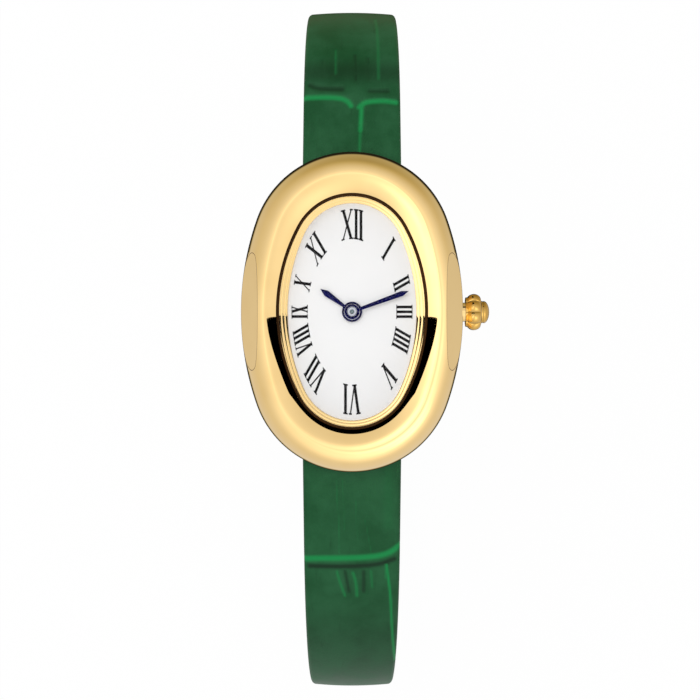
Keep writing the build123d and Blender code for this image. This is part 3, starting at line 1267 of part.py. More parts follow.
# Buckle frame: two ears and a front bar
BUCKLE_INNER_HALF_WIDTH = KEEPER_HALF_WIDTH + BUCKLE_EAR_GAP - 2 * SOFT_GAP
with BuildPart() as buckle_frame:
    buckle_length = BUCKLE_BACK + BUCKLE_FRONT
    with BuildSketch(Plane.XY.offset(BUCKLE_Z - BUCKLE_HEIGHT / 2)):
        with Locations((0, BUCKLE_Y + (BUCKLE_BACK - BUCKLE_FRONT) / 2)):
            RectangleRounded(
                2 * (BUCKLE_INNER_HALF_WIDTH + BUCKLE_EAR_WIDTH), buckle_length, BUCKLE_CORNER_RADIUS
            )
        inner_length = BUCKLE_BACK + OVERRUN + BUCKLE_FRONT - BUCKLE_FRONT_WIDTH
        with Locations((0, BUCKLE_Y - BUCKLE_FRONT + BUCKLE_FRONT_WIDTH + inner_length / 2)):
            Rectangle(2 * BUCKLE_INNER_HALF_WIDTH, inner_length, mode=Mode.SUBTRACT)
    extrude(amount=BUCKLE_HEIGHT)
    with BuildSketch(Plane.YZ):
        with Locations((BUCKLE_Y, BUCKLE_Z)):
            Circle(BUCKLE_BAR_RADIUS / 2 + SEAT_GAP)
    extrude(amount=BUCKLE_INNER_HALF_WIDTH + BUCKLE_EAR_WIDTH / 2, both=True, mode=Mode.SUBTRACT)
save(buckle_frame.part, "buckle_frame")

# Buckle bar with a thinner pivot at each end
with BuildPart() as buckle_bar:
    with BuildSketch(Plane.YZ):
        with Locations((BUCKLE_Y, BUCKLE_Z)):
            Circle(BUCKLE_BAR_RADIUS)
    extrude(amount=BUCKLE_INNER_HALF_WIDTH - SEAT_GAP, both=True)
    with BuildSketch(Plane.YZ):
        with Locations((BUCKLE_Y, BUCKLE_Z)):
            Circle(BUCKLE_BAR_RADIUS / 2)
    extrude(amount=BUCKLE_INNER_HALF_WIDTH + BUCKLE_EAR_WIDTH / 2 - SEAT_GAP, both=True)
save(buckle_bar.part, "buckle_bar")

# Tang: an eye on the bar and a pin that rests on the front bar's outer side
with BuildPart() as buckle_tang:
    eye_radius = BUCKLE_BAR_RADIUS + RUNNING_GAP + TANG_EYE_WALL
    rest_z = BUCKLE_Z - BUCKLE_HEIGHT / 2 - SOFT_GAP
    front_y = BUCKLE_Y - BUCKLE_FRONT
    with BuildSketch(Plane.YZ):
        with BuildLine():
            Polyline(
                (BUCKLE_Y, BUCKLE_Z),
                (front_y + BUCKLE_FRONT_WIDTH + SOFT_GAP, rest_z),
                (front_y - TANG_OVERHANG, rest_z),
                (front_y - TANG_OVERHANG, rest_z - TANG_THICKNESS / 2),
                (front_y + BUCKLE_FRONT_WIDTH, rest_z - TANG_THICKNESS),
                (BUCKLE_Y, BUCKLE_Z - eye_radius),
                close=True,
            )
        make_face()
        with Locations((BUCKLE_Y, BUCKLE_Z)):
            Circle(eye_radius)
            Circle(BUCKLE_BAR_RADIUS + RUNNING_GAP, mode=Mode.SUBTRACT)
    extrude(amount=TANG_WIDTH / 2, both=True)
save(buckle_tang.part, "buckle_tang")
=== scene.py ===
"""Oval dress watch on a leather strap: detailed pieces, finishes, studio and camera."""

import logging
import math
from dataclasses import dataclass
from enum import Enum
from functools import cache
from typing import Callable

import bmesh
import bpy
import numpy as np
from mathutils import Matrix, Vector

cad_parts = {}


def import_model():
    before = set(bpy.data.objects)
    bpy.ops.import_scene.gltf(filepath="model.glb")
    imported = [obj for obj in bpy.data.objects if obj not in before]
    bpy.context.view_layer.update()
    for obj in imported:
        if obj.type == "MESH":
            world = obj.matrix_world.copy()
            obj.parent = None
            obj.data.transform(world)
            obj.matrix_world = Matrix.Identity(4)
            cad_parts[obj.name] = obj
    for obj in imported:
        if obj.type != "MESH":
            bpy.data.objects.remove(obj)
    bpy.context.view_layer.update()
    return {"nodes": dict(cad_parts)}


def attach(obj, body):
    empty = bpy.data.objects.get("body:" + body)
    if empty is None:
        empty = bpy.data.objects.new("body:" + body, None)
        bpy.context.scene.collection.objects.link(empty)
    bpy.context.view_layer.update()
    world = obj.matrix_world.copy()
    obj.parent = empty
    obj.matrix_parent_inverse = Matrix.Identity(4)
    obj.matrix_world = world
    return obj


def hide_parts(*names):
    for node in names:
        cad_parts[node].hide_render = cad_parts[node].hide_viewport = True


MM = 0.001
LOG = logging.getLogger("oval_watch")

Tint = tuple[int, int, int]
Pair = tuple[float, float]
Place = tuple[float, float, float]
Ring = Callable[[float], Vector]
Socket = bpy.types.NodeSocket
Material = bpy.types.Material
Piece = bpy.types.Object


def srgb(tint: Tint, share: float = 1.0) -> tuple[float, float, float, float]:
    """Turn a display colour into the linear colour that a shader takes.

    Args:
        tint: Red, green and blue from 0 to 255.
        share: Share of their strength.

    Returns:
        Linear red, green, blue and an alpha of 1.
    """
    parts = []
    for part in tint:
        level = int(part * share) / 255
        parts.append(level / 12.92 if level <= 0.04045 else ((level + 0.055) / 1.055) ** 2.4)
    return (*parts, 1.0)


# Finishes


class Graph:
    """The node tree of one material or world, with short calls to add and join nodes."""

    def __init__(self, name: str, owner: bpy.types.ID | None = None) -> None:
        """Start an empty tree.

        Args:
            name: Name of the material, where the tree makes one.
            owner: The world that the tree belongs to, if it isn't a material's.
        """
        self.owner = owner or bpy.data.materials.new(name)
        self.owner.use_nodes = True
        self.tree = self.owner.node_tree
        self.tree.nodes.clear()

    def add(self, kind: str, values: dict | None = None, **settings: object) -> bpy.types.Node:
        """Add a node.

        Args:
            kind: The node's type name.
            values: Input name or number to a constant or to the socket that feeds it.
            settings: Properties of the node itself.

        Returns:
            The new node.
        """
        node = self.tree.nodes.new(kind)
        for key, value in settings.items():
            setattr(node, key, value)
        for key, value in (values or {}).items():
            if isinstance(value, Socket):
                self.tree.links.new(value, node.inputs[key])
            else:
                node.inputs[key].default_value = value
        return node

    def place(self, scale: Place = (1, 1, 1)) -> Socket:
        """Object coordinates in metres.

        Args:
            scale: How much they are stretched along each axis.

        Returns:
            The stretched coordinates.
        """
        coords = self.add("ShaderNodeTexCoord")
        mapping = self.add("ShaderNodeMapping", {"Vector": coords.outputs["Object"], "Scale": scale})
        return mapping.outputs["Vector"]

    def noise(self, vector: Socket, scale: float, detail: float = 4, roughness: float = 0.55) -> Socket:
        """Fractal noise from 0 to 1 at a scale per metre."""
        values = {"Vector": vector, "Scale": scale, "Detail": detail, "Roughness": roughness}
        return self.add("ShaderNodeTexNoise", values).outputs["Fac"]

    def ramp(self, value: Socket, low: float, high: float, start: float = 0, end: float = 1) -> Socket:
        """Map a value from one range to another with clamped ends.

        Args:
            value: The socket that feeds the map.
            low: Where the input range starts.
            high: Where the input range ends.
            start: Output at low.
            end: Output at high.

        Returns:
            The mapped socket.
        """
        values = {"Value": value, "From Min": low, "From Max": high, "To Min": start, "To Max": end}
        return self.add("ShaderNodeMapRange", values, interpolation_type="SMOOTHSTEP").outputs["Result"]

    def math(self, operation: str, *parts: object) -> Socket:
        """One arithmetic step on sockets or numbers."""
        return self.add("ShaderNodeMath", dict(enumerate(parts)), operation=operation).outputs[0]

    def vector(self, operation: str, *parts: object) -> Socket:
        """One vector step on sockets or triples."""
        node = self.add("ShaderNodeVectorMath", dict(enumerate(parts)), operation=operation)
        return node.outputs["Value" if operation in ("LENGTH", "DOT_PRODUCT") else "Vector"]

    def direction(self, place: Socket, shift: tuple) -> Socket:
        """The direction of length one from the origin to a shifted place."""
        return self.vector("NORMALIZE", self.vector("ADD", place, shift))

    def mix(self, share: object, first: object, second: object) -> Socket:
        """Blend two colours by a share."""
        return self.add("ShaderNodeMix", {0: share, 6: first, 7: second}, data_type="RGBA").outputs[2]

    def blend(self, share: object, first: bpy.types.Node, second: bpy.types.Node) -> bpy.types.Node:
        """Blend two shaders by a share."""
        return self.add("ShaderNodeMixShader", {0: share, 1: first.outputs[0], 2: second.outputs[0]})

    def bump(self, height: Socket, depth: float, strength: float = 1.0, under: object = None) -> Socket:
        """A bumped normal.

        Args:
            height: Relief from 0 to 1.
            depth: Its depth in metres.
            strength: Share of the full relief.
            under: A normal that this relief adds to.

        Returns:
            The normal socket.
        """
        values = {"Height": height, "Distance": depth, "Strength": strength}
        if under is not None:
            values["Normal"] = under
        return self.add("ShaderNodeBump", values).outputs["Normal"]

    def finish(self, shader: bpy.types.Node, output: str = "ShaderNodeOutputMaterial") -> bpy.types.ID:
        """Join a shader to the output and hand back the material or world."""
        self.add(output, {"Surface": shader.outputs[0]})
        return self.owner

    def principled(self, color: Socket, **values: object) -> Material:
        """A finished material of one main shader.

        Args:
            color: Its base colour.
            values: Its other inputs, with spaces written as underscores.

        Returns:
            The material.
        """
        inputs = {key.replace("_", " "): value for key, value in values.items()}
        return self.finish(self.add("ShaderNodeBsdfPrincipled", {"Base Color": color, **inputs}))


@dataclass(frozen=True)
class PolishedGold:
    """Gold plating, polished to a mirror with a little unevenness and fine wiping marks."""

    name: str = "polished_gold"
    tint: Tint = (255, 220, 151)
    shade: Tint = (252, 216, 146)
    roughness: float = 0.012
    wipe_depth: float = 5e-8

    def make(self) -> Material:
        """Build the material.

        Returns:
            The material.
        """
        graph = Graph(self.name)
        place = graph.place()
        cloud = graph.noise(place, 260, 3)
        wipes = graph.noise(graph.place((1, 0.08, 1)), 9000, 3, 0.6)
        color = graph.mix(graph.ramp(cloud, 0.35, 0.7), srgb(self.tint), srgb(self.shade))
        rough = graph.ramp(wipes, 0.3, 0.75, self.roughness * 0.7, self.roughness * 1.5)
        normal = graph.bump(wipes, self.wipe_depth, 0.5)
        return graph.principled(color, Metallic=1.0, Roughness=rough, Normal=normal)


@dataclass(frozen=True)
class BrushedMetal:
    """Metal with a fine straight or round grain and slight clouding."""

    name: str
    tint: Tint
    roughness: float = 0.28
    grain: Place = (1, 0.05, 1)
    depth: float = 1.5e-6

    def make(self) -> Material:
        """Build the material.

        Returns:
            The material.
        """
        graph = Graph(self.name)
        grain = graph.noise(graph.place(self.grain), 9000, 5, 0.65)
        cloud = graph.noise(graph.place(), 400, 3)
        color = graph.mix(graph.ramp(cloud, 0.3, 0.75), srgb(self.tint), srgb(self.tint, 0.86))
        rough = graph.ramp(grain, 0.25, 0.8, self.roughness * 0.75, self.roughness * 1.3)
        normal = graph.bump(grain, self.depth, 0.6)
        return graph.principled(color, Metallic=1.0, Roughness=rough, Normal=normal)


@dataclass(frozen=True)
class PaintedSheet:
    """Smooth paint or plastic with a fine tooth and a trace of colour drift."""

    name: str
    tint: Tint
    roughness: float = 0.4
    coat: float = 0.0
    tooth: float = 1e-6
    drift: float = 0.97
    specular: float = 0.5

    def make(self) -> Material:
        """Build the material.

        Returns:
            The material.
        """
        graph = Graph(self.name)
        tooth = graph.noise(graph.place(), 16000, 3, 0.6)
        cloud = graph.noise(graph.place(), 180, 2)
        color = graph.mix(graph.ramp(cloud, 0.3, 0.75), srgb(self.tint), srgb(self.tint, self.drift))
        return graph.principled(
            color,
            Roughness=graph.ramp(tooth, 0.3, 0.7, self.roughness * 0.9, self.roughness * 1.15),
            Normal=graph.bump(tooth, self.tooth, 0.5),
            Specular_IOR_Level=self.specular,
            Coat_Weight=self.coat,
            Coat_Roughness=0.08,
        )


@dataclass(frozen=True)
class BluedSteel:
    """Dark blue polished steel of the hands."""

    name: str = "blued_steel"
    tint: Tint = (10, 12, 82)
    shade: Tint = (5, 6, 46)
    roughness: float = 0.2

    def make(self) -> Material:
        """Build the material.

        Returns:
            The material.
        """
        graph = Graph(self.name)
        grain = graph.noise(graph.place(), 5000, 4)
        color = graph.mix(graph.ramp(grain, 0.3, 0.7), srgb(self.tint), srgb(self.shade))
        return graph.principled(
            color,
            Metallic=0.8,
            Specular_IOR_Level=0.1,
            Roughness=graph.ramp(grain, 0.3, 0.7, self.roughness * 0.8, self.roughness * 1.3),
            Normal=graph.bump(grain, 4e-7, 0.4),
        )


@dataclass(frozen=True)
class MineralGlass:
    """Clear flat glass: see-through with a faint sharp reflection."""

    name: str = "mineral_glass"
    strength: float = 0.12

    def make(self) -> Material:
        """Build the material.

        Returns:
            The material.
        """
        graph = Graph(self.name)
        smear = graph.noise(graph.place(), 300, 3)
        clear = graph.add("ShaderNodeBsdfTransparent", {"Color": (0.997, 1, 1, 1)})
        rough = graph.ramp(smear, 0.3, 0.7, 0.005, 0.02)
        gloss = graph.add("ShaderNodeBsdfGlossy", {"Color": (1, 1, 1, 1), "Roughness": rough})
        fresnel = graph.add("ShaderNodeFresnel", {"IOR": 1.5}).outputs[0]
        return graph.finish(graph.blend(graph.math("MULTIPLY", fresnel, self.strength), clear, gloss))


@dataclass(frozen=True)
class DyedLeather:
    """Smooth dyed leather: fine pores, soft clouds, long wrinkles, pale creases that are part wear and part
    painted highlight, and painted shade from an attribute.
    """

    name: str
    deep: Tint
    mid: Tint
    crease: Tint
    roughness: float = 0.42
    pore_depth: float = 1.2e-5
    wrinkle_depth: float = 4e-5

    def make(self) -> Material:
        """Build the material.

        Returns:
            The material.
        """
        graph = Graph(self.name)
        place = graph.place()
        cloud = graph.noise(place, 220, 5, 0.6)
        streak = graph.noise(graph.place((1, 0.16, 0.16)), 1500, 5, 0.62)
        pores = graph.add("ShaderNodeTexVoronoi", {"Vector": place, "Scale": 4200}).outputs["Distance"]
        fine = graph.noise(place, 9000, 3, 0.6)
        body = graph.mix(graph.ramp(cloud, 0.3, 0.72), srgb(self.deep), srgb(self.mid))
        body = graph.mix(graph.ramp(streak, 0.56, 0.8, 0, 0.5), body, srgb(self.deep, 0.78))
        # The crease attribute paints pale folds, part wear and part painted highlight; the shade attribute
        # paints shade into folds and broad patches.
        crease = graph.add("ShaderNodeAttribute", attribute_name="crease").outputs["Fac"]
        shade = graph.add("ShaderNodeAttribute", attribute_name="shade").outputs["Fac"]
        body = graph.mix(graph.ramp(shade, 0.0, 1.0), body, srgb(self.deep, 0.55))
        color = graph.mix(graph.ramp(crease, 0.05, 1.0), body, srgb(self.crease))
        normal = graph.bump(streak, self.wrinkle_depth, 0.35)
        normal = graph.bump(pores, self.pore_depth, 0.45, normal)
        normal = graph.bump(fine, self.pore_depth * 0.5, 0.4, normal)
        rough = graph.ramp(cloud, 0.3, 0.7, self.roughness * 0.9, self.roughness * 1.15)
        return graph.principled(color, Roughness=rough, Normal=normal, Specular_IOR_Level=0.16)


@dataclass(frozen=True)
class WoundWire:
    """Enamelled wire wound side by side along X."""

    name: str = "wound_wire"
    tint: Tint = (190, 104, 58)
    pitch: float = 9000

    def make(self) -> Material:
        """Build the material.

        Returns:
            The material.
        """
        graph = Graph(self.name)
        wave = graph.add(
            "ShaderNodeTexWave",
            {"Vector": graph.place(), "Scale": self.pitch, "Distortion": 0.6, "Detail": 1},
            bands_direction="X",
        ).outputs["Fac"]
        color = graph.mix(wave, srgb(self.tint, 0.55), srgb(self.tint))
        normal = graph.bump(wave, 2e-5, 0.8)
        return graph.principled(color, Metallic=0.8, Roughness=0.3, Normal=normal)


class Finish(Enum):
    """The finishes that pieces are dressed in, by what they are."""

    GOLD = PolishedGold()
    # A darker copy of the case gold for the crown: painted shade.
    SHADED_CROWN_GOLD = PolishedGold("crown_gold_painted_shade", (232, 190, 108), (206, 160, 76), 0.03)
    STEEL = BrushedMetal("brushed_steel", (196, 198, 202))
    MOVEMENT_BRASS = BrushedMetal("movement_brass", (214, 178, 106), 0.24)
    PLATE_BRASS = BrushedMetal("plate_brass", (222, 190, 122), 0.3, (0.06, 1, 1))
    BLUED = BluedSteel()
    GLASS = MineralGlass()
    DIAL = PaintedSheet("dial_paint", (247, 246, 246), 0.38, 0.15, 6e-7, 0.992)
    INK = PaintedSheet("numeral_ink", (10, 8, 8), 0.5, 0.0, 1e-6, 0.8, 0.1)
    # A dark brown-gold that paints the reflection edge round the side flats.
    PAINTED_EDGE_LINE = BrushedMetal("painted_dark_edge_line", (128, 88, 40), 0.35)
    SEAL = PaintedSheet("seal_rubber", (22, 22, 22), 0.7, 0.0, 4e-6, 0.8)
    # A dark brown that paints the lip's shade onto the seal.
    PAINTED_SEAL_SHADE = PaintedSheet("painted_shade_on_seal", (62, 38, 12), 0.7, 0.0, 2e-6, 0.8, 0.1)
    PIN_STEEL = BrushedMetal("pin_steel", (112, 126, 126))
    BOARD = PaintedSheet("board_mask", (18, 92, 52), 0.3, 0.3, 2e-6, 0.85)
    CHIP = PaintedSheet("chip_plastic", (24, 24, 26), 0.5, 0.0, 4e-6, 0.85)
    HOLDER = PaintedSheet("holder_plastic", (226, 226, 220), 0.5, 0.0, 3e-6, 0.96)
    WIRE = WoundWire()
    # The third tint is the pale crease colour, part wear and part painted highlight.
    GREEN_LEATHER = DyedLeather("green_leather", (14, 72, 36), (34, 90, 54), (18, 132, 68))
    EDGE_PAINT = PaintedSheet("strap_edge_paint", (16, 54, 32), 0.42, 0.1, 8e-6, 0.85, 0.2)
    LINING = DyedLeather(
        "lining_leather", (150, 122, 88), (176, 148, 112), (190, 164, 128), 0.62, 2e-5, 3e-5
    )


@cache
def material(finish: Finish) -> Material:
    """The material of a finish, built the first time that it is asked for."""
    return finish.value.make()


# Shared shapes


@dataclass(frozen=True)
class Oval:
    """An oval of four tangent arcs, in millimetres."""

    half_width: float
    half_length: float
    end_radius: float

    def inset(self, depth: float) -> "Oval":
        """The oval that runs a set distance inside this one."""
        return Oval(self.half_width - depth, self.half_length - depth, self.end_radius - depth)

    def arcs(self) -> tuple[float, float, float]:
        """The arcs' sizes.

        Returns:
            Radius of the side arcs, how far beyond the middle their centres lie, and how far the
            centres of the end arcs lie out.
        """
        flat = self.half_width**2 + self.half_length**2 - 2 * self.half_length * self.end_radius
        side_radius = flat / (2 * (self.half_width - self.end_radius))
        return side_radius, side_radius - self.half_width, self.half_length - self.end_radius

    def holds(self, x: float, y: float) -> bool:
        """Whether the oval holds a place.

        Args:
            x: Across, in millimetres.
            y: Along, in millimetres.

        Returns:
            True if the place lies inside.
        """
        side_radius, side_x, end_y = self.arcs()
        x, y = abs(x), abs(y)
        if y - end_y > x * end_y / side_x:
            return math.hypot(x, y - end_y) < self.end_radius
        return math.hypot(x + side_x, y) < side_radius

    def depth(self, other: "Oval", angle: float) -> float:
        """How far inwards from this oval another one lies.

        Args:
            other: The inner oval.
            angle: Where this oval faces, in radians from +X.

        Returns:
            The distance in millimetres.
        """
        start = self.point(angle, 0) / MM
        near, far = 0.0, self.half_width
        for _ in range(26):
            middle = (near + far) / 2
            if other.holds(start.x - middle * math.cos(angle), start.y - middle * math.sin(angle)):
                far = middle
            else:
                near = middle
        return near

    def ring(self, height: float) -> Ring:
        """The oval at a height, as a function from an angle to a place."""
        return lambda angle: self.point(angle, height)

    def rings(self, *rim: Pair) -> list[Ring]:
        """A ring for each pair of an inset and a height."""
        return [self.inset(inset).ring(height) for inset, height in rim]

    def point(self, angle: float, height: float) -> Vector:
        """The place where the oval faces an angle.

        Args:
            angle: Direction of the outward normal, in radians from +X.
            height: Z in millimetres.

        Returns:
            The place in metres.
        """
        side_radius, side_x, end_y = self.arcs()
        turn = math.atan2(end_y, side_x)
        across, along = math.cos(angle), math.sin(angle)
        lean = math.atan2(abs(along), abs(across))
        if lean < turn:
            x = math.copysign(side_radius * abs(across) - side_x, across)
            y = side_radius * along
        else:
            x = self.end_radius * across
            y = math.copysign(end_y, along) + self.end_radius * along
        return Vector((x, y, height)) * MM


def lobed(x: float, radius: float, axis_z: float, lobes: int = 0, depth: float = 0.0) -> Ring:
    """A ring round an axis along X, with rounded lobes.

    Args:
        x: Place along the axis, in millimetres.
        radius: Radius at the top of the lobes.
        axis_z: Height of the axis.
        lobes: Number of lobes, or 0 for a plain circle.
        depth: How deep the valleys are.

    Returns:
        A function from an angle to a place in metres.
    """

    roundness = 0.55

    def place(angle: float) -> Vector:
        """The ring's place.

        Args:
            angle: Direction round the axis, in radians.

        Returns:
            The place in metres.
        """
        valley = (1 - abs(math.sin(lobes * angle / 2)) ** roundness) if lobes else 0
        reach = radius - depth * valley
        return Vector((x, reach * math.sin(angle), axis_z + reach * math.cos(angle))) * MM

    return place


def arc_points(centre: Pair, radius: float, start: float, end: float, steps: int) -> list[Pair]:
    """Points along an arc, in degrees from the first axis.

    Args:
        centre: Centre of the arc.
        radius: Its radius.
        start: First angle.
        end: Last angle.
        steps: Number of parts.

    Returns:
        Points, both ends included.
    """
    points = []
    for step in range(steps + 1):
        turn = math.radians(start + (end - start) * step / steps)
        points.append((centre[0] + radius * math.cos(turn), centre[1] + radius * math.sin(turn)))
    return points


class Maker:
    """One piece in the making: a bmesh and the steps that turn it into a dressed object."""

    def __init__(self, name: str) -> None:
        """Start an empty piece of this name."""
        self.name = name
        self.mesh = bmesh.new()

    def loft(self, rings: list[Ring], closed: bool, segments: int = 320, dark: tuple[int, ...] = ()) -> None:
        """Sweep a circle of edges through rings, one extrusion for each.

        Args:
            rings: Each gives a place for an angle in radians.
            closed: Whether the last ring joins the first; if not, both ends are capped.
            segments: Number of edges in a ring.
            dark: Extrusions whose faces take the piece's second finish.
        """
        made = bmesh.ops.create_circle(self.mesh, segments=segments, radius=1.0)
        angles = {vert: math.atan2(vert.co.y, vert.co.x) for vert in made["verts"]}
        edges = list({edge for vert in angles for edge in vert.link_edges})
        for vert, angle in angles.items():
            vert.co = rings[0](angle)
        ends = [edges]
        for step, ring in enumerate(rings[1:] + rings[:1] * closed):
            made = bmesh.ops.extrude_edge_only(self.mesh, edges=edges)
            fresh = {}
            for part in made["geom"]:
                if isinstance(part, bmesh.types.BMVert):
                    for edge in part.link_edges:
                        angle = angles.get(edge.other_vert(part))
                        if angle is not None:
                            fresh[part] = angle
                elif isinstance(part, bmesh.types.BMFace) and step in dark:
                    part.material_index = 1
            edges = [
                part
                for part in made["geom"]
                if isinstance(part, bmesh.types.BMEdge) and all(vert in fresh for vert in part.verts)
            ]
            for vert, angle in fresh.items():
                vert.co = ring(angle)
            angles = fresh
        ends.append(edges)
        if closed:
            bmesh.ops.remove_doubles(self.mesh, verts=self.mesh.verts, dist=2e-8)
        else:
            for loop in ends:
                bmesh.ops.contextual_create(self.mesh, geom=loop)

    def slab(self, corners: list[Place], sweep: Place) -> None:
        """A flat outline pushed into a solid.

        Args:
            corners: Corners in millimetres.
            sweep: The push, in millimetres.
        """
        verts = [self.mesh.verts.new(Vector(corner) * MM) for corner in corners]
        face = self.mesh.faces.new(verts)
        made = bmesh.ops.extrude_face_region(self.mesh, geom=[face])
        moved = [part for part in made["geom"] if isinstance(part, bmesh.types.BMVert)]
        bmesh.ops.translate(self.mesh, verts=moved, vec=Vector(sweep) * MM)

    def block(self, half_width: float, near: float, far: float, floor: float, height: float) -> None:
        """A box from near to far along Y, of a half width about X = 0.

        Args:
            half_width: Half its size along X, in millimetres.
            near: Where it starts along Y.
            far: Where it ends along Y.
            floor: Its underside.
            height: Its size along Z.
        """
        corners = ((-half_width, near), (half_width, near), (half_width, far), (-half_width, far))
        self.slab([(x, y, floor) for x, y in corners], (0, 0, height))

    def cylinder(self, centre: tuple, axis: str, radius: float, length: float, segments: int = 48) -> None:
        """A closed round bar.

        Args:
            centre: Its middle, in millimetres.
            axis: X, Y or Z.
            radius: Its radius.
            length: Its length.
            segments: Number of its sides.
        """
        turn = {"X": Matrix.Rotation(math.pi / 2, 4, "Y"), "Y": Matrix.Rotation(math.pi / 2, 4, "X")}
        bmesh.ops.create_cone(
            self.mesh,
            cap_ends=True,
            segments=segments,
            radius1=radius * MM,
            radius2=radius * MM,
            depth=length * MM,
            matrix=Matrix.Translation(Vector(centre) * MM) @ turn.get(axis, Matrix.Identity(4)),
        )

    def soften(self, width: float, segments: int = 3, least: float = 25.0) -> None:
        """Round the sharp edges.

        Args:
            width: How wide the rounding is, in millimetres.
            segments: Number of its steps.
            least: Edges that turn less than this angle stay.
        """
        edges = [
            edge
            for edge in self.mesh.edges
            if len(edge.link_faces) == 2 and edge.calc_face_angle(0) > math.radians(least)
        ]
        bmesh.ops.bevel(
            self.mesh,
            geom=edges,
            offset=width * MM,
            offset_type="OFFSET",
            segments=segments,
            profile=0.5,
            affect="EDGES",
            clamp_overlap=True,
            material=-1,
        )

    def object(
        self, finish: Finish, smooth_below: float = 30.0, weld: bool = True, second: Finish | None = None
    ) -> Piece:
        """Turn the work into an object with its finish.

        Args:
            finish: What the piece is dressed in.
            smooth_below: Faces that meet at less than this angle shade as one.
            weld: Whether doubled corners are merged and faces turned outwards.
            second: What its marked faces are dressed in.

        Returns:
            The object, at the origin.
        """
        if weld:
            bmesh.ops.remove_doubles(self.mesh, verts=self.mesh.verts, dist=1e-7)
            bmesh.ops.recalc_face_normals(self.mesh, faces=self.mesh.faces)
        data = bpy.data.meshes.new(self.name)
        self.mesh.to_mesh(data)
        self.mesh.free()
        data.shade_smooth()
        data.set_sharp_from_angle(angle=math.radians(smooth_below))
        data.materials.append(material(finish))
        if second:
            data.materials.append(material(second))
        piece = bpy.data.objects.new(self.name, data)
        bpy.context.scene.collection.objects.link(piece)
        return piece


def cut(piece: Piece, cutters: list[Maker], smooth_below: float) -> None:
    """Take solids out of a piece for good.

    Args:
        piece: The piece that is cut.
        cutters: Solids in the making, used up here.
        smooth_below: Faces that meet at less than this angle shade as one.
    """
    for cutter in cutters:
        tool = cutter.object(Finish.STEEL)
        bool_step = piece.modifiers.new("cut", "BOOLEAN")
        bool_step.object = tool
        bool_step.operation = "DIFFERENCE"
        bool_step.solver = "MANIFOLD"
        bpy.context.view_layer.update()
        graph = bpy.context.evaluated_depsgraph_get()
        data = bpy.data.meshes.new_from_object(piece.evaluated_get(graph))
        piece.modifiers.remove(bool_step)
        piece.data = data
        bpy.data.objects.remove(tool)
    piece.data.set_sharp_from_angle(angle=math.radians(smooth_below))


def join_frame(piece: Piece, body: str, node: str) -> None:
    """Tie a piece to its body and the node that it stands for.

    Args:
        piece: The new piece.
        body: The body that it moves with.
        node: The CAD node that it replaces.
    """
    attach(piece, body)
    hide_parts(node)
    LOG.info("%s on %s, %d faces", piece.name, body, len(piece.data.polygons))


# Case


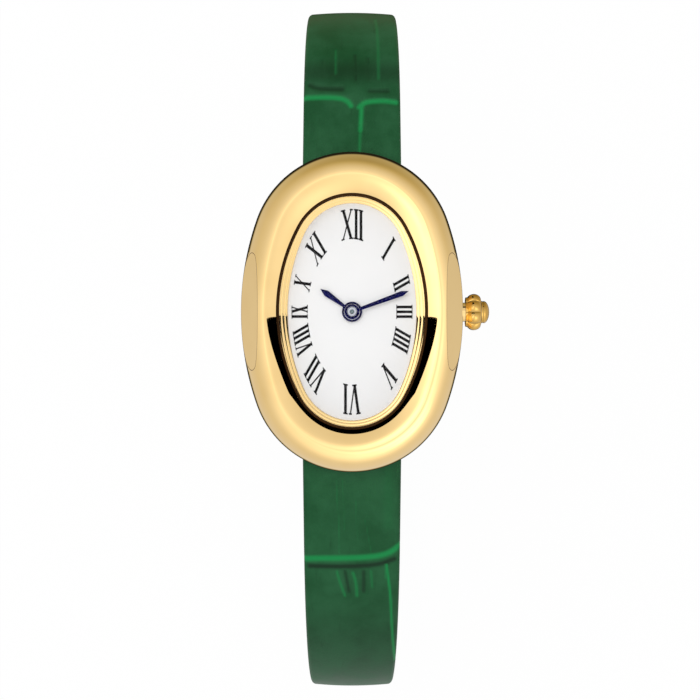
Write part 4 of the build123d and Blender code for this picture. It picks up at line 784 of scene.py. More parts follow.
@dataclass
class CaseHead:
    """The gold case, its tube, the back, the glass with its seal and the stepped ring.

    All sizes are in millimetres.
    """

    outline: Oval = Oval(11.1, 16.0, 10.1)
    lip: Oval = Oval(7.5, 11.7, 6.1)
    crest_inset: float = 2.2
    crest_height: float = 7.2
    slope_radius: float = 3.6
    crest_radius: float = 1.5
    crest_turn: float = 60.0
    under_radius: float = 2.6
    under_turn: float = 80.0
    widest_height: float = 3.088
    underside: float = 0.35
    underside_inset: float = 2.78
    plate: Oval = Oval(8.25, 10.6, 7.6)
    back: Oval = Oval(8.27, 10.62, 7.62)
    back_depth: float = 0.8
    bore: Oval = Oval(7.35, 10.2, 7.2)
    seat_height: float = 3.8
    flat_inner_x: float = 9.3
    flat_top: float = 7.146
    flat_line: float = 0.07
    slot_half_width: float = 5.12
    slot_inner_y: float = 11.5
    slot_outer_y: float = 18.0
    slot_ceiling: float = 3.05
    tube_radius: float = 0.95
    tube_chamfer: float = 0.06
    tube_bore: float = 0.5
    # Painted shade on the seal: its width at the sides and how much it widens towards 12 o'clock.
    painted_shade_width: Pair = (0.055, 0.205)
    tube_from: float = 7.3
    tube_to: float = 12.2
    axis_z: float = 2.3

    def inwards(self, oval: Oval, share: float = 1.0, height: float | None = None) -> Ring:
        """A ring on the way from the crest to an inner oval, square to the crest.

        Args:
            oval: Where the way ends.
            share: 0 at the crest, 1 at the oval.
            height: Height of the ring; without it the ring lies on the inner slope.

        Returns:
            A function from an angle to a place in metres.
        """
        crest = self.outline.inset(self.crest_inset)

        def place(angle: float) -> Vector:
            """The ring's place.

            Args:
                angle: Where the crest faces, in radians.

            Returns:
                The place in metres.
            """
            away = crest.depth(oval, angle) * share
            level = height
            if level is None:
                level = self.crest_height - self.slope_radius + math.sqrt(self.slope_radius**2 - away**2)
            push = Vector((math.cos(angle), math.sin(angle), 0)) * away * MM
            return crest.point(angle, level) - push

        return place

    def section(self) -> list[Pair]:
        """The case's skin from the crest to the underside.

        Returns:
            Inset and height of each step, in millimetres.
        """
        turn = math.radians(self.crest_turn)
        flank = (self.crest_inset - self.crest_radius * math.sin(turn)) / (1 - math.sin(turn))
        under, level = self.under_radius, self.widest_height
        crest = (self.crest_inset, self.crest_height - self.crest_radius)
        points = arc_points(crest, self.crest_radius, 90, 90 + self.crest_turn, 14)[1:]
        points += arc_points((flank, level), flank, 90 + self.crest_turn, 180, 14)[1:]
        points += arc_points((under, level), under, 180, 180 + self.under_turn, 12)[1:]
        return points

    def middle(self) -> None:
        """The case with its rounded bezel, side flats and strap slots."""
        maker = Maker("case_middle_polished")
        loops = [self.inwards(self.lip, 1.0, self.seat_height)]
        loops += [self.inwards(self.lip, 1 - step / 16) for step in range(17)]
        loops += self.outline.rings(*self.section(), (self.underside_inset, self.underside))
        loops += [self.inwards(self.back, 1.0, height) for height in (self.underside, self.back_depth)]
        loops += [self.inwards(self.bore, 1.0, height) for height in (self.back_depth, self.seat_height)]
        maker.loft(loops, closed=True)
        self.flats(maker)
        piece = maker.object(Finish.GOLD, 28, second=Finish.PAINTED_EDGE_LINE)
        slots = []
        for side in (1, -1):
            slot = Maker(f"slot_{side}")
            near, far = side * self.slot_inner_y, side * self.slot_outer_y
            slot.block(self.slot_half_width, near, far, -1.0, self.slot_ceiling + 1.0)
            slots.append(slot)
        cut(piece, slots, 28)
        join_frame(piece, "case", "case_middle")

    def flats(self, maker: Maker) -> None:
        """Plane the two side flats off the flanks, each with a painted dark reflection line round it.

        Args:
            maker: The case in the making.
        """
        lean = Vector((self.flat_top - self.widest_height, 0, self.outline.half_width - self.flat_inner_x))
        for side in (1, -1):
            geom = list(maker.mesh.verts) + list(maker.mesh.edges) + list(maker.mesh.faces)
            made = bmesh.ops.bisect_plane(
                maker.mesh,
                geom=geom,
                dist=1e-7,
                plane_co=Vector((side * self.flat_inner_x, 0, self.flat_top)) * MM,
                plane_no=Vector((side * lean.x, 0, lean.z)).normalized(),
                clear_outer=True,
            )
            rim = [part for part in made["geom_cut"] if isinstance(part, bmesh.types.BMEdge)]
            flat = bmesh.ops.contextual_create(maker.mesh, geom=rim)["faces"]
            made = bmesh.ops.inset_individual(
                maker.mesh, faces=flat, thickness=self.flat_line * MM, use_even_offset=True
            )
            # The inset ring round each flat takes the painted dark reflection line.
            for face in made["faces"]:
                face.material_index = 1

    def tube(self) -> None:
        """The tube that carries the stem."""
        maker = Maker("case_tube_polished")
        inner, outer, chamfer = self.tube_bore, self.tube_radius, self.tube_chamfer
        start, end = self.tube_from, self.tube_to
        rim = ((start, inner), (start, outer), (end - chamfer, outer), (end, outer - chamfer), (end, inner))
        loops = [lobed(x, radius, self.axis_z) for x, radius in rim]
        maker.loft(loops, closed=True, segments=72)
        piece = maker.object(Finish.GOLD)
        piece.visible_glossy = False
        join_frame(piece, "case", "case_tube")

    def back_cover(self) -> None:
        """The snap back with its softened rim."""
        maker = Maker("case_back_brushed")
        loops = self.plate.rings((0.0, 0.78), (0.0, 0.2), (0.04, 0.1), (0.14, 0.02), (0.24, 0.0), (0.8, 0.0))
        maker.loft(loops, closed=False)
        join_frame(maker.object(Finish.STEEL, 35), "case", "case_back")

    def glass(self) -> None:
        """The flat crystal with its polished chamfer."""
        maker = Maker("crystal_clear")
        maker.loft(self.lip.rings((0.3, 5.3), (0.3, 6.3), (0.35, 6.39), (0.45, 6.45)), closed=False)
        join_frame(maker.object(Finish.GLASS, 35), "case", "crystal")

    def seal(self) -> None:
        """The seal round the crystal: painted shade in dark brown at the lip, wider towards 12 o'clock, gold
        further in like the ring under it.
        """
        maker = Maker("crystal_seal")
        loops = self.lip.rings((0.02, 5.3), (0.02, 6.26), (0.04, 6.3), (0.28, 6.28), (0.28, 5.3))

        def border(angle: float) -> Vector:
            """Where the painted shade on the seal ends: further in towards 12 o'clock."""
            width = self.painted_shade_width[0] + self.painted_shade_width[1] * max(0.0, math.sin(angle)) ** 3
            return self.lip.inset(width).point(angle, 6.3)

        loops.insert(3, border)
        # The extrusions out to the border take the painted shade.
        maker.loft(loops, closed=True, dark=(0, 1, 2))
        piece = maker.object(Finish.GOLD, 35, second=Finish.PAINTED_SEAL_SHADE)
        join_frame(piece, "case", "crystal_gasket")

    def stepped_ring(self) -> None:
        """The gold ring that steps down to the dial."""
        maker = Maker("flange_ring_polished")
        top, step = 5.28, 0.36
        loops = self.lip.rings((0.04, 4.2), (0.04, top))
        for opening in (Oval(7.05, 11.33, 5.8), Oval(6.72, 11.06, 5.5), Oval(6.4, 10.8, 5.2)):
            loops += opening.rings((-0.06, top), (-0.015, top - 0.03), (0.0, top - 0.1), (0.0, top - step))
            top -= step
        maker.loft(loops, closed=True)
        join_frame(maker.object(Finish.GOLD, 40), "case", "flange_ring")

    def build(self) -> None:
        """Build every piece of the case head."""
        self.middle()
        self.tube()
        self.back_cover()
        self.glass()
        self.seal()
        self.stepped_ring()


# Hands and crown


@dataclass(frozen=True)
class Hand:
    """A pointed hand with a ridge along it and a round boss; its body bears its node's name.

    Sizes are in millimetres, the angle clockwise from 12 o'clock in degrees.
    """

    node: str
    angle: float
    length: float
    root_width: float
    tip_width: float
    point: float
    boss_radius: float
    hole_radius: float
    floor: float
    thickness: float = 0.12
    edge: float = 0.06
    # Whether the boss's upward-facing rims take steel as a painted highlight.
    painted_highlight_rims: bool = False

    def build(self) -> None:
        """Build the hand where the CAD node lies."""
        maker = Maker(self.node + "_blued")
        start = self.boss_radius * 0.8
        outline = (
            (start, self.root_width / 2),
            (self.length - self.point, self.tip_width / 2),
            (self.length, 0.0),
            (self.length - self.point, -self.tip_width / 2),
            (start, -self.root_width / 2),
        )
        spine = ((start, 0.0), (self.length - self.point, 0.0))
        turn = math.radians(90 - self.angle)

        def corner(reach: float, side: float, height: float) -> bmesh.types.BMVert:
            """One corner of the hand, turned to its angle.

            Args:
                reach: Distance along the hand, in millimetres.
                side: Distance to its left.
                height: Z.

            Returns:
                The new corner.
            """
            x = reach * math.cos(turn) - side * math.sin(turn)
            y = reach * math.sin(turn) + side * math.cos(turn)
            return maker.mesh.verts.new(Vector((x, y, height)) * MM)

        top = self.floor + self.thickness
        low = [corner(reach, side, self.floor) for reach, side in outline]
        rim = [corner(reach, side, top - self.edge) for reach, side in outline]
        ridge = [corner(reach, side, top) for reach, side in spine]
        faces = [low[::-1]]
        for step in range(5):
            following = (step + 1) % 5
            faces.append([low[step], low[following], rim[following], rim[step]])
        faces += [
            [rim[0], rim[1], ridge[1], ridge[0]],
            [rim[1], rim[2], ridge[1]],
            [rim[2], rim[3], ridge[1]],
            [rim[3], rim[4], ridge[0], ridge[1]],
            [rim[4], rim[0], ridge[0]],
        ]
        for face in faces:
            maker.mesh.faces.new(face)
        self.boss(maker, top)
        piece = maker.object(Finish.BLUED, 20, second=Finish.STEEL)
        outer_middle, outer_half, inner_width, least_rise = 0.03, 0.028, 0.045, 0.2
        # Steel on the boss's upward-facing rims paints a highlight on the blued hand.
        if self.painted_highlight_rims:
            for face in piece.data.polygons:
                reach = math.hypot(face.center.x, face.center.y) / MM
                outer = abs(reach - self.boss_radius + outer_middle) < outer_half
                if (outer or reach < self.hole_radius + inner_width) and face.normal.z > least_rise:
                    face.material_index = 1
        join_frame(piece, self.node, self.node)

    def boss(self, maker: Maker, top: float) -> None:
        """Add the boss: a flat ring with a turned groove and soft rims.

        Args:
            maker: The hand in the making.
            top: Height of the boss.
        """
        radius, hole = self.boss_radius, self.hole_radius
        groove = ((0.0, 0.04), (0.06, 0.0), (0.16, 0.0), (0.19, 0.03), (0.23, 0.03), (0.26, 0.0))
        profile = [(hole, self.floor), (radius, self.floor)]
        profile += [(radius - inset, top - drop) for inset, drop in groove]
        profile += [(hole + 0.07, top), (hole, top - 0.04)]
        verts = [maker.mesh.verts.new(Vector((reach, 0, height)) * MM) for reach, height in profile]
        edges = [maker.mesh.edges.new(pair) for pair in zip(verts, verts[1:] + verts[:1])]
        bmesh.ops.spin(
            maker.mesh,
            geom=verts + edges,
            cent=(0, 0, 0),
            axis=(0, 0, 1),
            angle=math.tau,
            steps=96,
            use_merge=True,
        )


@dataclass
class Crown:
    """The fluted crown and its domed cap, on an axis along X. Sizes in millimetres."""

    axis_z: float = 2.3
    bore_radius: float = 0.99
    bore_end: float = 12.44
    inner_x: float = 11.35
    tip_x: float = 13.75
    lobes: int = 8
    groove: float = 0.36
    stem_radius: float = 0.46
    bead_middle: float = 0.85
    bead_foot: float = 1.22
    bead_swell: float = 0.68
    bead_half_length: float = 0.72
    cap_from: float = 0.75
    cap_radius: float = 1.1

    def build(self) -> None:
        """Build the crown in one closed skin."""
        maker = Maker("crown_polished")
        rows = [
            (self.bore_end, self.stem_radius, 0.0),
            (self.bore_end, self.bore_radius, 0.0),
            (self.inner_x, self.bore_radius, 0.0),
            (self.inner_x, 1.42, 0.0),
            (self.inner_x + 0.03, 1.48, 0.01),
        ]
        middle = self.inner_x + self.bead_middle
        for turn in range(150, 14, -8):
            lean = math.radians(turn)
            reach = self.bead_foot + self.bead_swell * math.sin(lean)
            depth = self.groove * math.sin(lean) ** 0.8
            rows.append((middle + self.bead_half_length * math.cos(lean), reach, depth))
        cap, radius = middle + self.cap_from, self.cap_radius
        rows += [
            (cap - 0.02, 1.2, 0.0),
            (cap, 1.12, 0.0),
            (cap + 0.03, radius, 0.0),
            (cap + 0.14, radius, 0.0),
            (cap + 0.155, radius - 0.04, 0.0),
            (cap + 0.185, radius - 0.04, 0.0),
            (cap + 0.2, radius, 0.0),
            (cap + 0.26, radius, 0.0),
        ]
        dome = self.tip_x - cap - 0.26
        for turn in (4, 12, 22, 33, 45, 57, 68, 77, 84, 88):
            lean = math.radians(turn)
            rows.append((cap + 0.26 + dome * math.sin(lean), radius * math.cos(lean), 0.0))
        loops = [
            lobed(x, radius, self.axis_z, self.lobes if depth > 0.001 else 0, depth)
            for x, radius, depth in rows
        ]
        maker.loft(loops, closed=False, segments=192)
        # The crown wears a darker copy of the case gold as painted shade.
        piece = maker.object(Finish.SHADED_CROWN_GOLD, 40)
        piece.visible_glossy = False
        join_frame(piece, "crown", "crown")


@dataclass
class Display:
    """The two hands, over a dial, numerals and centre pin that keep their CAD shape."""

    hour: Hand = Hand("hour_hand", 305.8, 3.9, 0.26, 0.62, 0.75, 1.0, 0.68, 4.5)
    minute: Hand = Hand("minute_hand", 70.0, 6.0, 0.3, 0.52, 0.7, 0.8, 0.44, 4.84, painted_highlight_rims=True)

    def build(self) -> None:
        """Build both hands."""
        self.hour.build()
        self.minute.build()


# Strap


@dataclass(frozen=True)
class Crease:
    """One fold line in the leather, or a broad patch of painted shade or highlight.

    Attributes:
        points: Places as (across, along) in millimetres.
        width: Half width of the line.
        depth: How far it sinks; negative lifts it.
        light: How much paler it is, 0 to 1, part wear and part painted highlight; below 0, how much painted
            shade darkens it.
    """

    points: tuple[Pair, ...]
    width: float
    depth: float
    light: float

    def path(self) -> list[np.ndarray]:
        """The line with its corners rounded off twice.

        Returns:
            Places as pairs of millimetres.
        """
        points = [np.array(point) for point in self.points]
        for _ in range(2):
            inner = []
            for first, second in zip(points, points[1:]):
                inner += [0.75 * first + 0.25 * second, 0.25 * first + 0.75 * second]
            points = [points[0]] + inner[1:-1] + [points[-1]]
        return points

    def share(self, across: np.ndarray, along: np.ndarray) -> np.ndarray:
        """How strongly each place lies in the line.

        Args:
            across: Places across the strap, in millimetres.
            along: The same places along it.

        Returns:
            0 to 1 for each place.
        """
        best = np.full(across.shape, 1e9)
        points = self.path()
        for (x0, s0), (x1, s1) in zip(points, points[1:]):
            run = np.array((x1 - x0, s1 - s0))
            part = ((across - x0) * run[0] + (along - s0) * run[1]) / max(run @ run, 1e-9)
            part = np.clip(part, 0, 1)
            gap = np.hypot(across - x0 - part * run[0], along - s0 - part * run[1])
            best = np.minimum(best, gap)
        return np.exp(-((best / self.width) ** 2))


@dataclass(frozen=True)
class Punch:
    """A round hole or a slot taken out of a strap. Sizes in millimetres."""

    centre: Place
    axis: str
    size: Pair

    def copy(self, mark: int) -> Maker:
        """The solid that is cut away.

        Args:
            mark: Number in its name.

        Returns:
            The solid in the making.
        """
        maker = Maker(f"punch_{mark}")
        if self.axis == "box":
            y, z = self.centre[1:]
            maker.block(self.size[0], y, y + self.size[1], z - 3, 6)
        else:
            maker.cylinder(self.centre, self.axis, self.size[0], self.size[1], 40)
        return maker


@dataclass
class StrapHalf:
    """One half of the strap: a run from the bar, one bend and a tail.

    Sizes are in millimetres, the droop in degrees and the wrap's gap in radians.
    """

    side: int
    body: str
    run: float
    bend_radius: float
    end_run: float
    creases: tuple[Crease, ...]
    tip_radius: float = 0.0
    end_wrap: bool = False
    bar: Pair = (13.0, 1.6)
    droop: float = 15.0
    half_thickness: float = 1.25
    lining: float = 0.9
    root_half_width: float = 5.0
    end_half_width: float = 4.0
    taper_top: float = 3.0
    taper_bottom: float = -30.0
    wrap_gap: float = 0.31
    row_pitch: float = 0.2

    def length(self) -> float:
        """Length from the bar to the end of the tail."""
        return self.run + self.bend_radius * math.radians(180 - self.droop) + self.end_run

    def spot(self, along: float, lift: float) -> Pair:
        """Y and Z of a place on the route.

        Args:
            along: Distance from the bar; negative goes round the bar.
            lift: Distance outwards from the middle of the strap.

        Returns:
            Y and Z in millimetres.
        """
        lean = math.radians(self.droop)
        cos, sin = math.cos(lean), math.sin(lean)
        bar_y, bar_z = self.bar
        bend = self.bend_radius * math.radians(180 - self.droop)
        if along < self.run:
            turn = max(-along, 0) / self.half_thickness
            ahead, up = max(along, 0) - lift * math.sin(turn), lift * math.cos(turn)
            return (self.side * (bar_y + ahead * cos + up * sin), bar_z - ahead * sin + up * cos)
        centre_y = bar_y + self.run * cos - self.bend_radius * sin
        centre_z = bar_z - self.run * sin - self.bend_radius * cos
        if along < self.run + bend:
            turn = lean + (along - self.run) / self.bend_radius
            reach = self.bend_radius + lift
            return (self.side * (centre_y + reach * math.sin(turn)), centre_z + reach * math.cos(turn))
        length = self.length()
        past = min(along, length) - self.run - bend
        turn = max(along - length, 0) / self.half_thickness
        return (
            self.side * (centre_y - past - lift * math.sin(turn)),
            centre_z - self.bend_radius - lift * math.cos(turn),
        )

    def half_width(self, along: float) -> float:
        """Half width of the strap.

        Args:
            along: Distance from the bar, in millimetres.

        Returns:
            The half width there.
        """
        height = self.spot(max(along, 0), 0)[1]
        share = (self.taper_top - height) / (self.taper_top - self.taper_bottom)
        share = min(max(share, 0.0), 1.0)
        width = self.root_half_width + (self.end_half_width - self.root_half_width) * share
        left = self.length() - along
        if self.tip_radius and left < self.tip_radius:
            round_in = math.sqrt(max(self.tip_radius**2 - (self.tip_radius - left) ** 2, 0.0))
            width = min(width, max(round_in, 0.25))
        return width

    def skin(self, maker: Maker, spec: dict) -> list:
        """One face of a layer as a mapped grid.

        Args:
            maker: The piece in the making.
            spec: start and end along the route, lift, edge radius, crown, facing, columns and rows.

        Returns:
            The grid's boundary edges.
        """
        columns, rows = spec["columns"], spec["rows"]
        made = bmesh.ops.create_grid(maker.mesh, x_segments=columns, y_segments=rows, size=1.0)
        verts = made["verts"]
        places = np.array([vert.co[:2] for vert in verts])
        along = spec["start"] + (places[:, 1] + 1) / 2 * (spec["end"] - spec["start"])
        across = places[:, 0]
        widths = np.array([self.half_width(value) for value in along])
        edge = spec["edge"]
        bend_share = 0.84
        flat = np.clip(across / bend_share, -1, 1) * (widths - edge)
        roll = np.clip((np.abs(across) - bend_share) / (1 - bend_share), 0, 1) * math.pi / 2
        x = flat + np.sign(across) * edge * np.sin(roll)
        fall = edge * (1 - np.cos(roll)) + spec["crown"] * (flat / np.maximum(widths, 0.1)) ** 2
        mark = np.zeros(len(verts))
        shade = np.zeros(len(verts))
        lift = np.full(len(verts), float(spec["lift"]))
        if spec["creased"]:
            # Pale marks are part wear and part painted highlight; negative light becomes painted shade.
            for crease in self.creases:
                share = crease.share(x, along)
                fall = fall + crease.depth * share
                mark = np.maximum(mark, crease.light * share)
                shade = np.maximum(shade, -crease.light * share)
        lift = lift - spec["facing"] * fall
        for index, vert in enumerate(verts):
            y, z = self.spot(float(along[index]), float(lift[index]))
            vert.co = Vector((float(x[index]), y, z)) * MM
        for name, values in (("crease", mark), ("shade", shade)):
            layer = maker.mesh.verts.layers.float.get(name)
            for index, vert in enumerate(verts):
                vert[layer] = float(values[index])
        return list({e for vert in verts for e in vert.link_edges if e.is_boundary})

    def layer(self, name: str, finish: Finish, top: dict, bottom: dict) -> Piece:
        """A closed leather layer from its two faces.

        Args:
            name: Name of the piece.
            finish: Its finish.
            top: The outward face.
            bottom: The inward face.

        Returns:
            The undressed layer.
        """
        maker = Maker(name)
        # Per-corner painted light: pale crease marks and painted shade.
        maker.mesh.verts.layers.float.new("crease")
        maker.mesh.verts.layers.float.new("shade")
        edges = self.skin(maker, top) + self.skin(maker, bottom)
        bmesh.ops.bridge_loops(maker.mesh, edges=edges)
        return maker.object(finish, 50)

    def build(self, cutters: list[Punch], lining_end: float) -> None:
        """Build the outer leather and the lining.

        Args:
            cutters: Solids that are taken out of the outer leather and the lining.
            lining_end: How far before the tail's end the lining stops.
        """
        length = self.length()
        split = self.lining - self.half_thickness
        wrap = (1.5 * math.pi - self.wrap_gap) * self.half_thickness
        tail = wrap if self.end_wrap else 0.0
        top = {
            "start": -wrap,
            "end": length + tail,
            "lift": self.half_thickness,
            "edge": 0.45,
            "crown": 0.22,
            "facing": 1,
            "columns": 56,
            "rows": int((length + wrap + tail) / self.row_pitch),
            "creased": True,
        }
        room = self.half_thickness if self.end_wrap else 0.0
        bottom = dict(
            top, start=1.24, end=length - room, lift=split, edge=0.1, crown=0.0, facing=-1, creased=False
        )
        outer = self.layer(self.body + "_outer_leather", Finish.GREEN_LEATHER, top, bottom)
        under_top = dict(bottom, start=1.3, end=length - lining_end, lift=split - 0.02, facing=1, edge=0.08)
        under_low = dict(under_top, lift=-self.half_thickness, facing=-1, edge=0.25)
        under = self.layer(self.body + "_lining_leather", Finish.LINING, under_top, under_low)
        for mark, piece in enumerate((outer, under), 1):
            cut(piece, [cutter.copy(mark) for cutter in cutters], 50)
            piece.visible_glossy = False
        join_frame(outer, self.body, self.body + "_outer")
        join_frame(under, self.body, self.body + "_lining")


@dataclass
class Strap:
    """Both strap halves and the two keepers. Sizes in millimetres."""

    bar_hole: Pair = (0.69, 14.0)
    buckle_hole: Pair = (0.59, 14.0)
    buckle_place: Pair = (-3.169, -27.916)
    hole_radius: float = 0.65
    hole_rows: tuple[float, ...] = (1.99, -2.01, -6.01, -10.01, -14.01)
    tail_height: float = -44.4
    keeper_width: float = 4.0
    keeper_half_width: float = 5.0
    keeper_half_height: float = 3.375
    keeper_corner: float = 0.8
    keeper_z: float = -29.195

    def upper(self) -> None:
        """The short half that carries the buckle."""
        creases = (
            # Positive light: pale folds, part wear and part painted highlight. Negative light: painted shade
            # in folds and a broad dark band.
            Crease(((-4.95, 8.65), (-3.23, 8.7), (-1.21, 8.6), (-0.4, 8.25), (-0.1, 7.8)), 0.3, 0.12, 0.95),
            Crease(((0.71, 7.65), (1.11, 8.05), (1.82, 8.25), (3.33, 8.35), (4.44, 8.2)), 0.3, 0.12, 0.95),
            Crease(((0.96, 7.95), (0.91, 6.25), (0.84, 5.2)), 0.27, 0.08, 0.9),
            Crease(((0.88, 5.6), (0.78, 4.0), (0.74, 2.4)), 0.22, 0.08, 0.55),
            Crease(((2.41, 20.1), (2.59, 17.4), (2.67, 14.85), (2.69, 10.65)), 0.24, 0.05, 0.4),
            Crease(((-1.65, 14.0), (-1.65, 11.2)), 0.2, 0.06, 0.4),
            Crease(((-4.6, 11.4), (4.6, 11.4)), 1.7, 0.0, -0.55),
            Crease(((0.31, 13.45), (0.41, 10.45)), 0.2, 0.1, -0.6),
            Crease(((-3.05, 12.8), (-2.94, 11.0)), 0.25, 0.1, -0.5),
            Crease(((-1.63, 12.8), (-2.13, 11.1)), 0.2, 0.08, -0.5),
            Crease(((1.63, 13.05), (1.83, 10.65)), 0.25, 0.1, -0.5),
            Crease(((-4.25, 10.0), (-3.44, 9.6), (-1.0, 9.5)), 0.35, 0.16, -0.7),
            Crease(((1.8, 9.3), (3.64, 9.35)), 0.3, 0.14, -0.6),
        )
        half = StrapHalf(1, "strap_12", 7.7, 14.0, 19.98, creases, end_wrap=True)
        cutters = [
            Punch((0, 13.0, 1.6), "X", self.bar_hole),
            Punch((0, *self.buckle_place), "X", self.buckle_hole),
            Punch((0, -4.69, self.buckle_place[1]), "box", (0.9, 3.4)),
        ]
        half.build(cutters, 1.9)

    def lower(self) -> None:
        """The long half with its holes and round tip."""
        fold = ((-4.97, 12.1), (-4.15, 12.0), (-2.23, 11.95), (-0.2, 11.9), (1.32, 11.85), (2.84, 11.7))
        fold += ((3.85, 11.4), (4.86, 10.65))
        side = ((3.5, 12.75), (3.72, 14.25), (3.94, 16.2), (4.07, 19.4), (4.3, 23.15), (4.53, 26.25))
        creases = (
            # Positive light: pale folds, part wear and part painted highlight; negative light: painted shade.
            Crease(fold, 0.34, 0.14, 1.0),
            Crease(((-4.3, 12.85), (-0.2, 12.85), (2.84, 12.65), (4.3, 12.1)), 0.3, 0.12, -0.9),
            Crease(((-1.52, 13.4), (-1.32, 14.25), (-0.71, 16.1)), 0.2, 0.1, 0.55),
            Crease(((0.1, 13.5), (0.41, 14.5), (0.51, 16.1)), 0.22, 0.1, 0.6),
            Crease(((1.93, 13.3), (2.04, 15.05)), 0.2, 0.1, 0.45),
            Crease(((3.45, 12.75), (3.46, 14.15)), 0.16, 0.1, 0.6),
            Crease(((-0.7, 13.4), (-0.3, 15.6)), 0.25, 0.12, -0.7),
            Crease(((1.2, 13.4), (1.2, 15.6)), 0.25, 0.12, -0.7),
            Crease(side, 0.17, 0.08, 0.85),
            # A lighter stripe of painted sheen, then a broad painted shade over the tail.
            Crease(((3.6, 2.5), (3.7, 8.5)), 0.8, 0.0, 0.22),
            Crease(((-4.5, 22.0), (4.5, 22.0)), 6.5, 0.0, -0.3),
            Crease(((-1.61, 3.65), (-1.21, 10.55), (-1.31, 11.3)), 0.1, 0.05, 0.35),
            Crease(((-0.9, 3.65), (-0.81, 8.95)), 0.1, 0.05, 0.35),
            Crease(((0.4, 5.8), (0.51, 10.05)), 0.1, 0.05, 0.3),
            Crease(((1.31, 7.9), (1.93, 11.3)), 0.1, 0.05, 0.3),
        )
        half = StrapHalf(-1, "strap_6", 10.35, 22.0, 26.29, creases, tip_radius=4.1)
        cutters = [Punch((0, -13.0, 1.6), "X", self.bar_hole)]
        cutters += [Punch((0, row, self.tail_height), "Z", (self.hole_radius, 6.0)) for row in self.hole_rows]
        half.build(cutters, 0.0)

    def keeper(self, node: str, body: str, start: float) -> None:
        """A leather loop round both layers of the strap.

        Args:
            node: The CAD node that it stands for.
            body: The body that it moves with.
            start: Where it begins along Y.
        """
        maker = Maker(node + "_leather")
        end = start + self.keeper_width
        edge = ((0.8, 0.06), (0.72, 0.0), (0.28, 0.0), (0.1, 0.06), (0.02, 0.2), (0.0, 0.5))
        rim = [(inset, start + past) for inset, past in edge]
        rim += [(inset, end - past) for inset, past in reversed(edge)]
        loops = [self.loop(inset, y) for inset, y in rim]
        maker.loft(loops, closed=True, segments=96)
        join_frame(maker.object(Finish.GREEN_LEATHER, 50), body, node)

    def loop(self, inset: float, y: float) -> Ring:
        """One rounded rectangle across the strap.

        Args:
            inset: How far it lies inside the keeper's outer skin, in millimetres.
            y: Its place along Y.

        Returns:
            A function from an angle to a place in metres.
        """
        half_width, half_height = self.keeper_half_width - inset, self.keeper_half_height - inset
        corner = max(self.keeper_corner - inset, 0.05)

        def place(angle: float) -> Vector:
            """The place on the rectangle.

            Args:
                angle: Direction from its middle, in radians.

            Returns:
                The place in metres.
            """
            across, up = math.cos(angle), math.sin(angle)
            reach = max(abs(across), abs(up))
            x, z = across / reach * half_width, up / reach * half_height
            over_x, over_z = abs(x) - half_width + corner, abs(z) - half_height + corner
            if over_x > 0 and over_z > 0:
                turn = math.atan2(over_z, over_x)
                x = math.copysign(half_width - corner + corner * math.cos(turn), x)
                z = math.copysign(half_height - corner + corner * math.sin(turn), z)
            return Vector((x, y, z + self.keeper_z)) * MM

        return place

    def build(self) -> None:
        """Build both halves and both keepers."""
        self.upper()
        self.lower()
        self.keeper("fixed_keeper", "strap_12", -1.27)
        self.keeper("loose_keeper", "loose_keeper", 4.13)


@dataclass
class Buckle:
    """The gold buckle frame and its tang. Sizes in millimetres."""

    inner_half_width: float = 4.28
    ear: float = 0.9
    back: float = -2.27
    front: float = -11.37
    front_bar: float = 1.3
    floor: float = -28.616
    height: float = 1.4
    corner: float = 0.7
    bar: Pair = (-3.169, -27.916)

    def finish(self, maker: Maker, softening: tuple, hole: tuple, body: str, node: str) -> None:
        """Soften a part, bore it for the bar and dress it.

        Args:
            maker: The part in the making.
            softening: Width and steps of its rounded edges.
            hole: Radius and length of the bore.
            body: The body that it moves with.
            node: The CAD node that it replaces.
        """
        bmesh.ops.recalc_face_normals(maker.mesh, faces=maker.mesh.faces)
        maker.soften(*softening, 40)
        piece = maker.object(Finish.GOLD, 35)
        bore = Maker("bar_hole")
        bore.cylinder((0, *self.bar), "X", *hole)
        cut(piece, [bore], 35)
        join_frame(piece, body, node)

    def frame(self) -> None:
        """The open frame with rounded corners and softened edges."""
        maker = Maker("buckle_frame_polished")
        outer = self.inner_half_width + self.ear
        inner_y = self.front + self.front_bar
        outline = [(-outer, self.back), (-self.inner_half_width, self.back)]
        outline += arc_points((-self.inner_half_width + 0.3, inner_y + 0.3), 0.3, 180, 270, 5)
        outline += arc_points((self.inner_half_width - 0.3, inner_y + 0.3), 0.3, 270, 360, 5)
        outline += [(self.inner_half_width, self.back), (outer, self.back)]
        outline += arc_points((outer - self.corner, self.front + self.corner), self.corner, 0, -90, 8)
        outline += arc_points((-outer + self.corner, self.front + self.corner), self.corner, 270, 180, 8)
        maker.slab([(x, y, self.floor) for x, y in outline], (0, 0, self.height))
        hole = (0.295, 2 * self.inner_half_width + self.ear)
        self.finish(maker, (0.22, 4), hole, "buckle", "buckle_frame")

    def tang(self) -> None:
        """The pin with its eye round the bar."""
        maker = Maker("buckle_tang_polished")
        centre_y, centre_z = self.bar
        eye = arc_points((centre_y, centre_z), 0.99, -90, 158, 26)
        outline = [*eye, (-10.019, -28.666), (-11.769, -28.666), (-11.769, -29.016), (-10.069, -29.366)]
        maker.slab([(-0.6, y, z) for y, z in outline], (1.2, 0, 0))
        self.finish(maker, (0.14, 3), (0.59, 4.0), "tang", "buckle_tang")

    def build(self) -> None:
        """Build the frame and the tang; the bar keeps its CAD shape."""
        self.frame()
        self.tang()


# Movement and other carried pieces


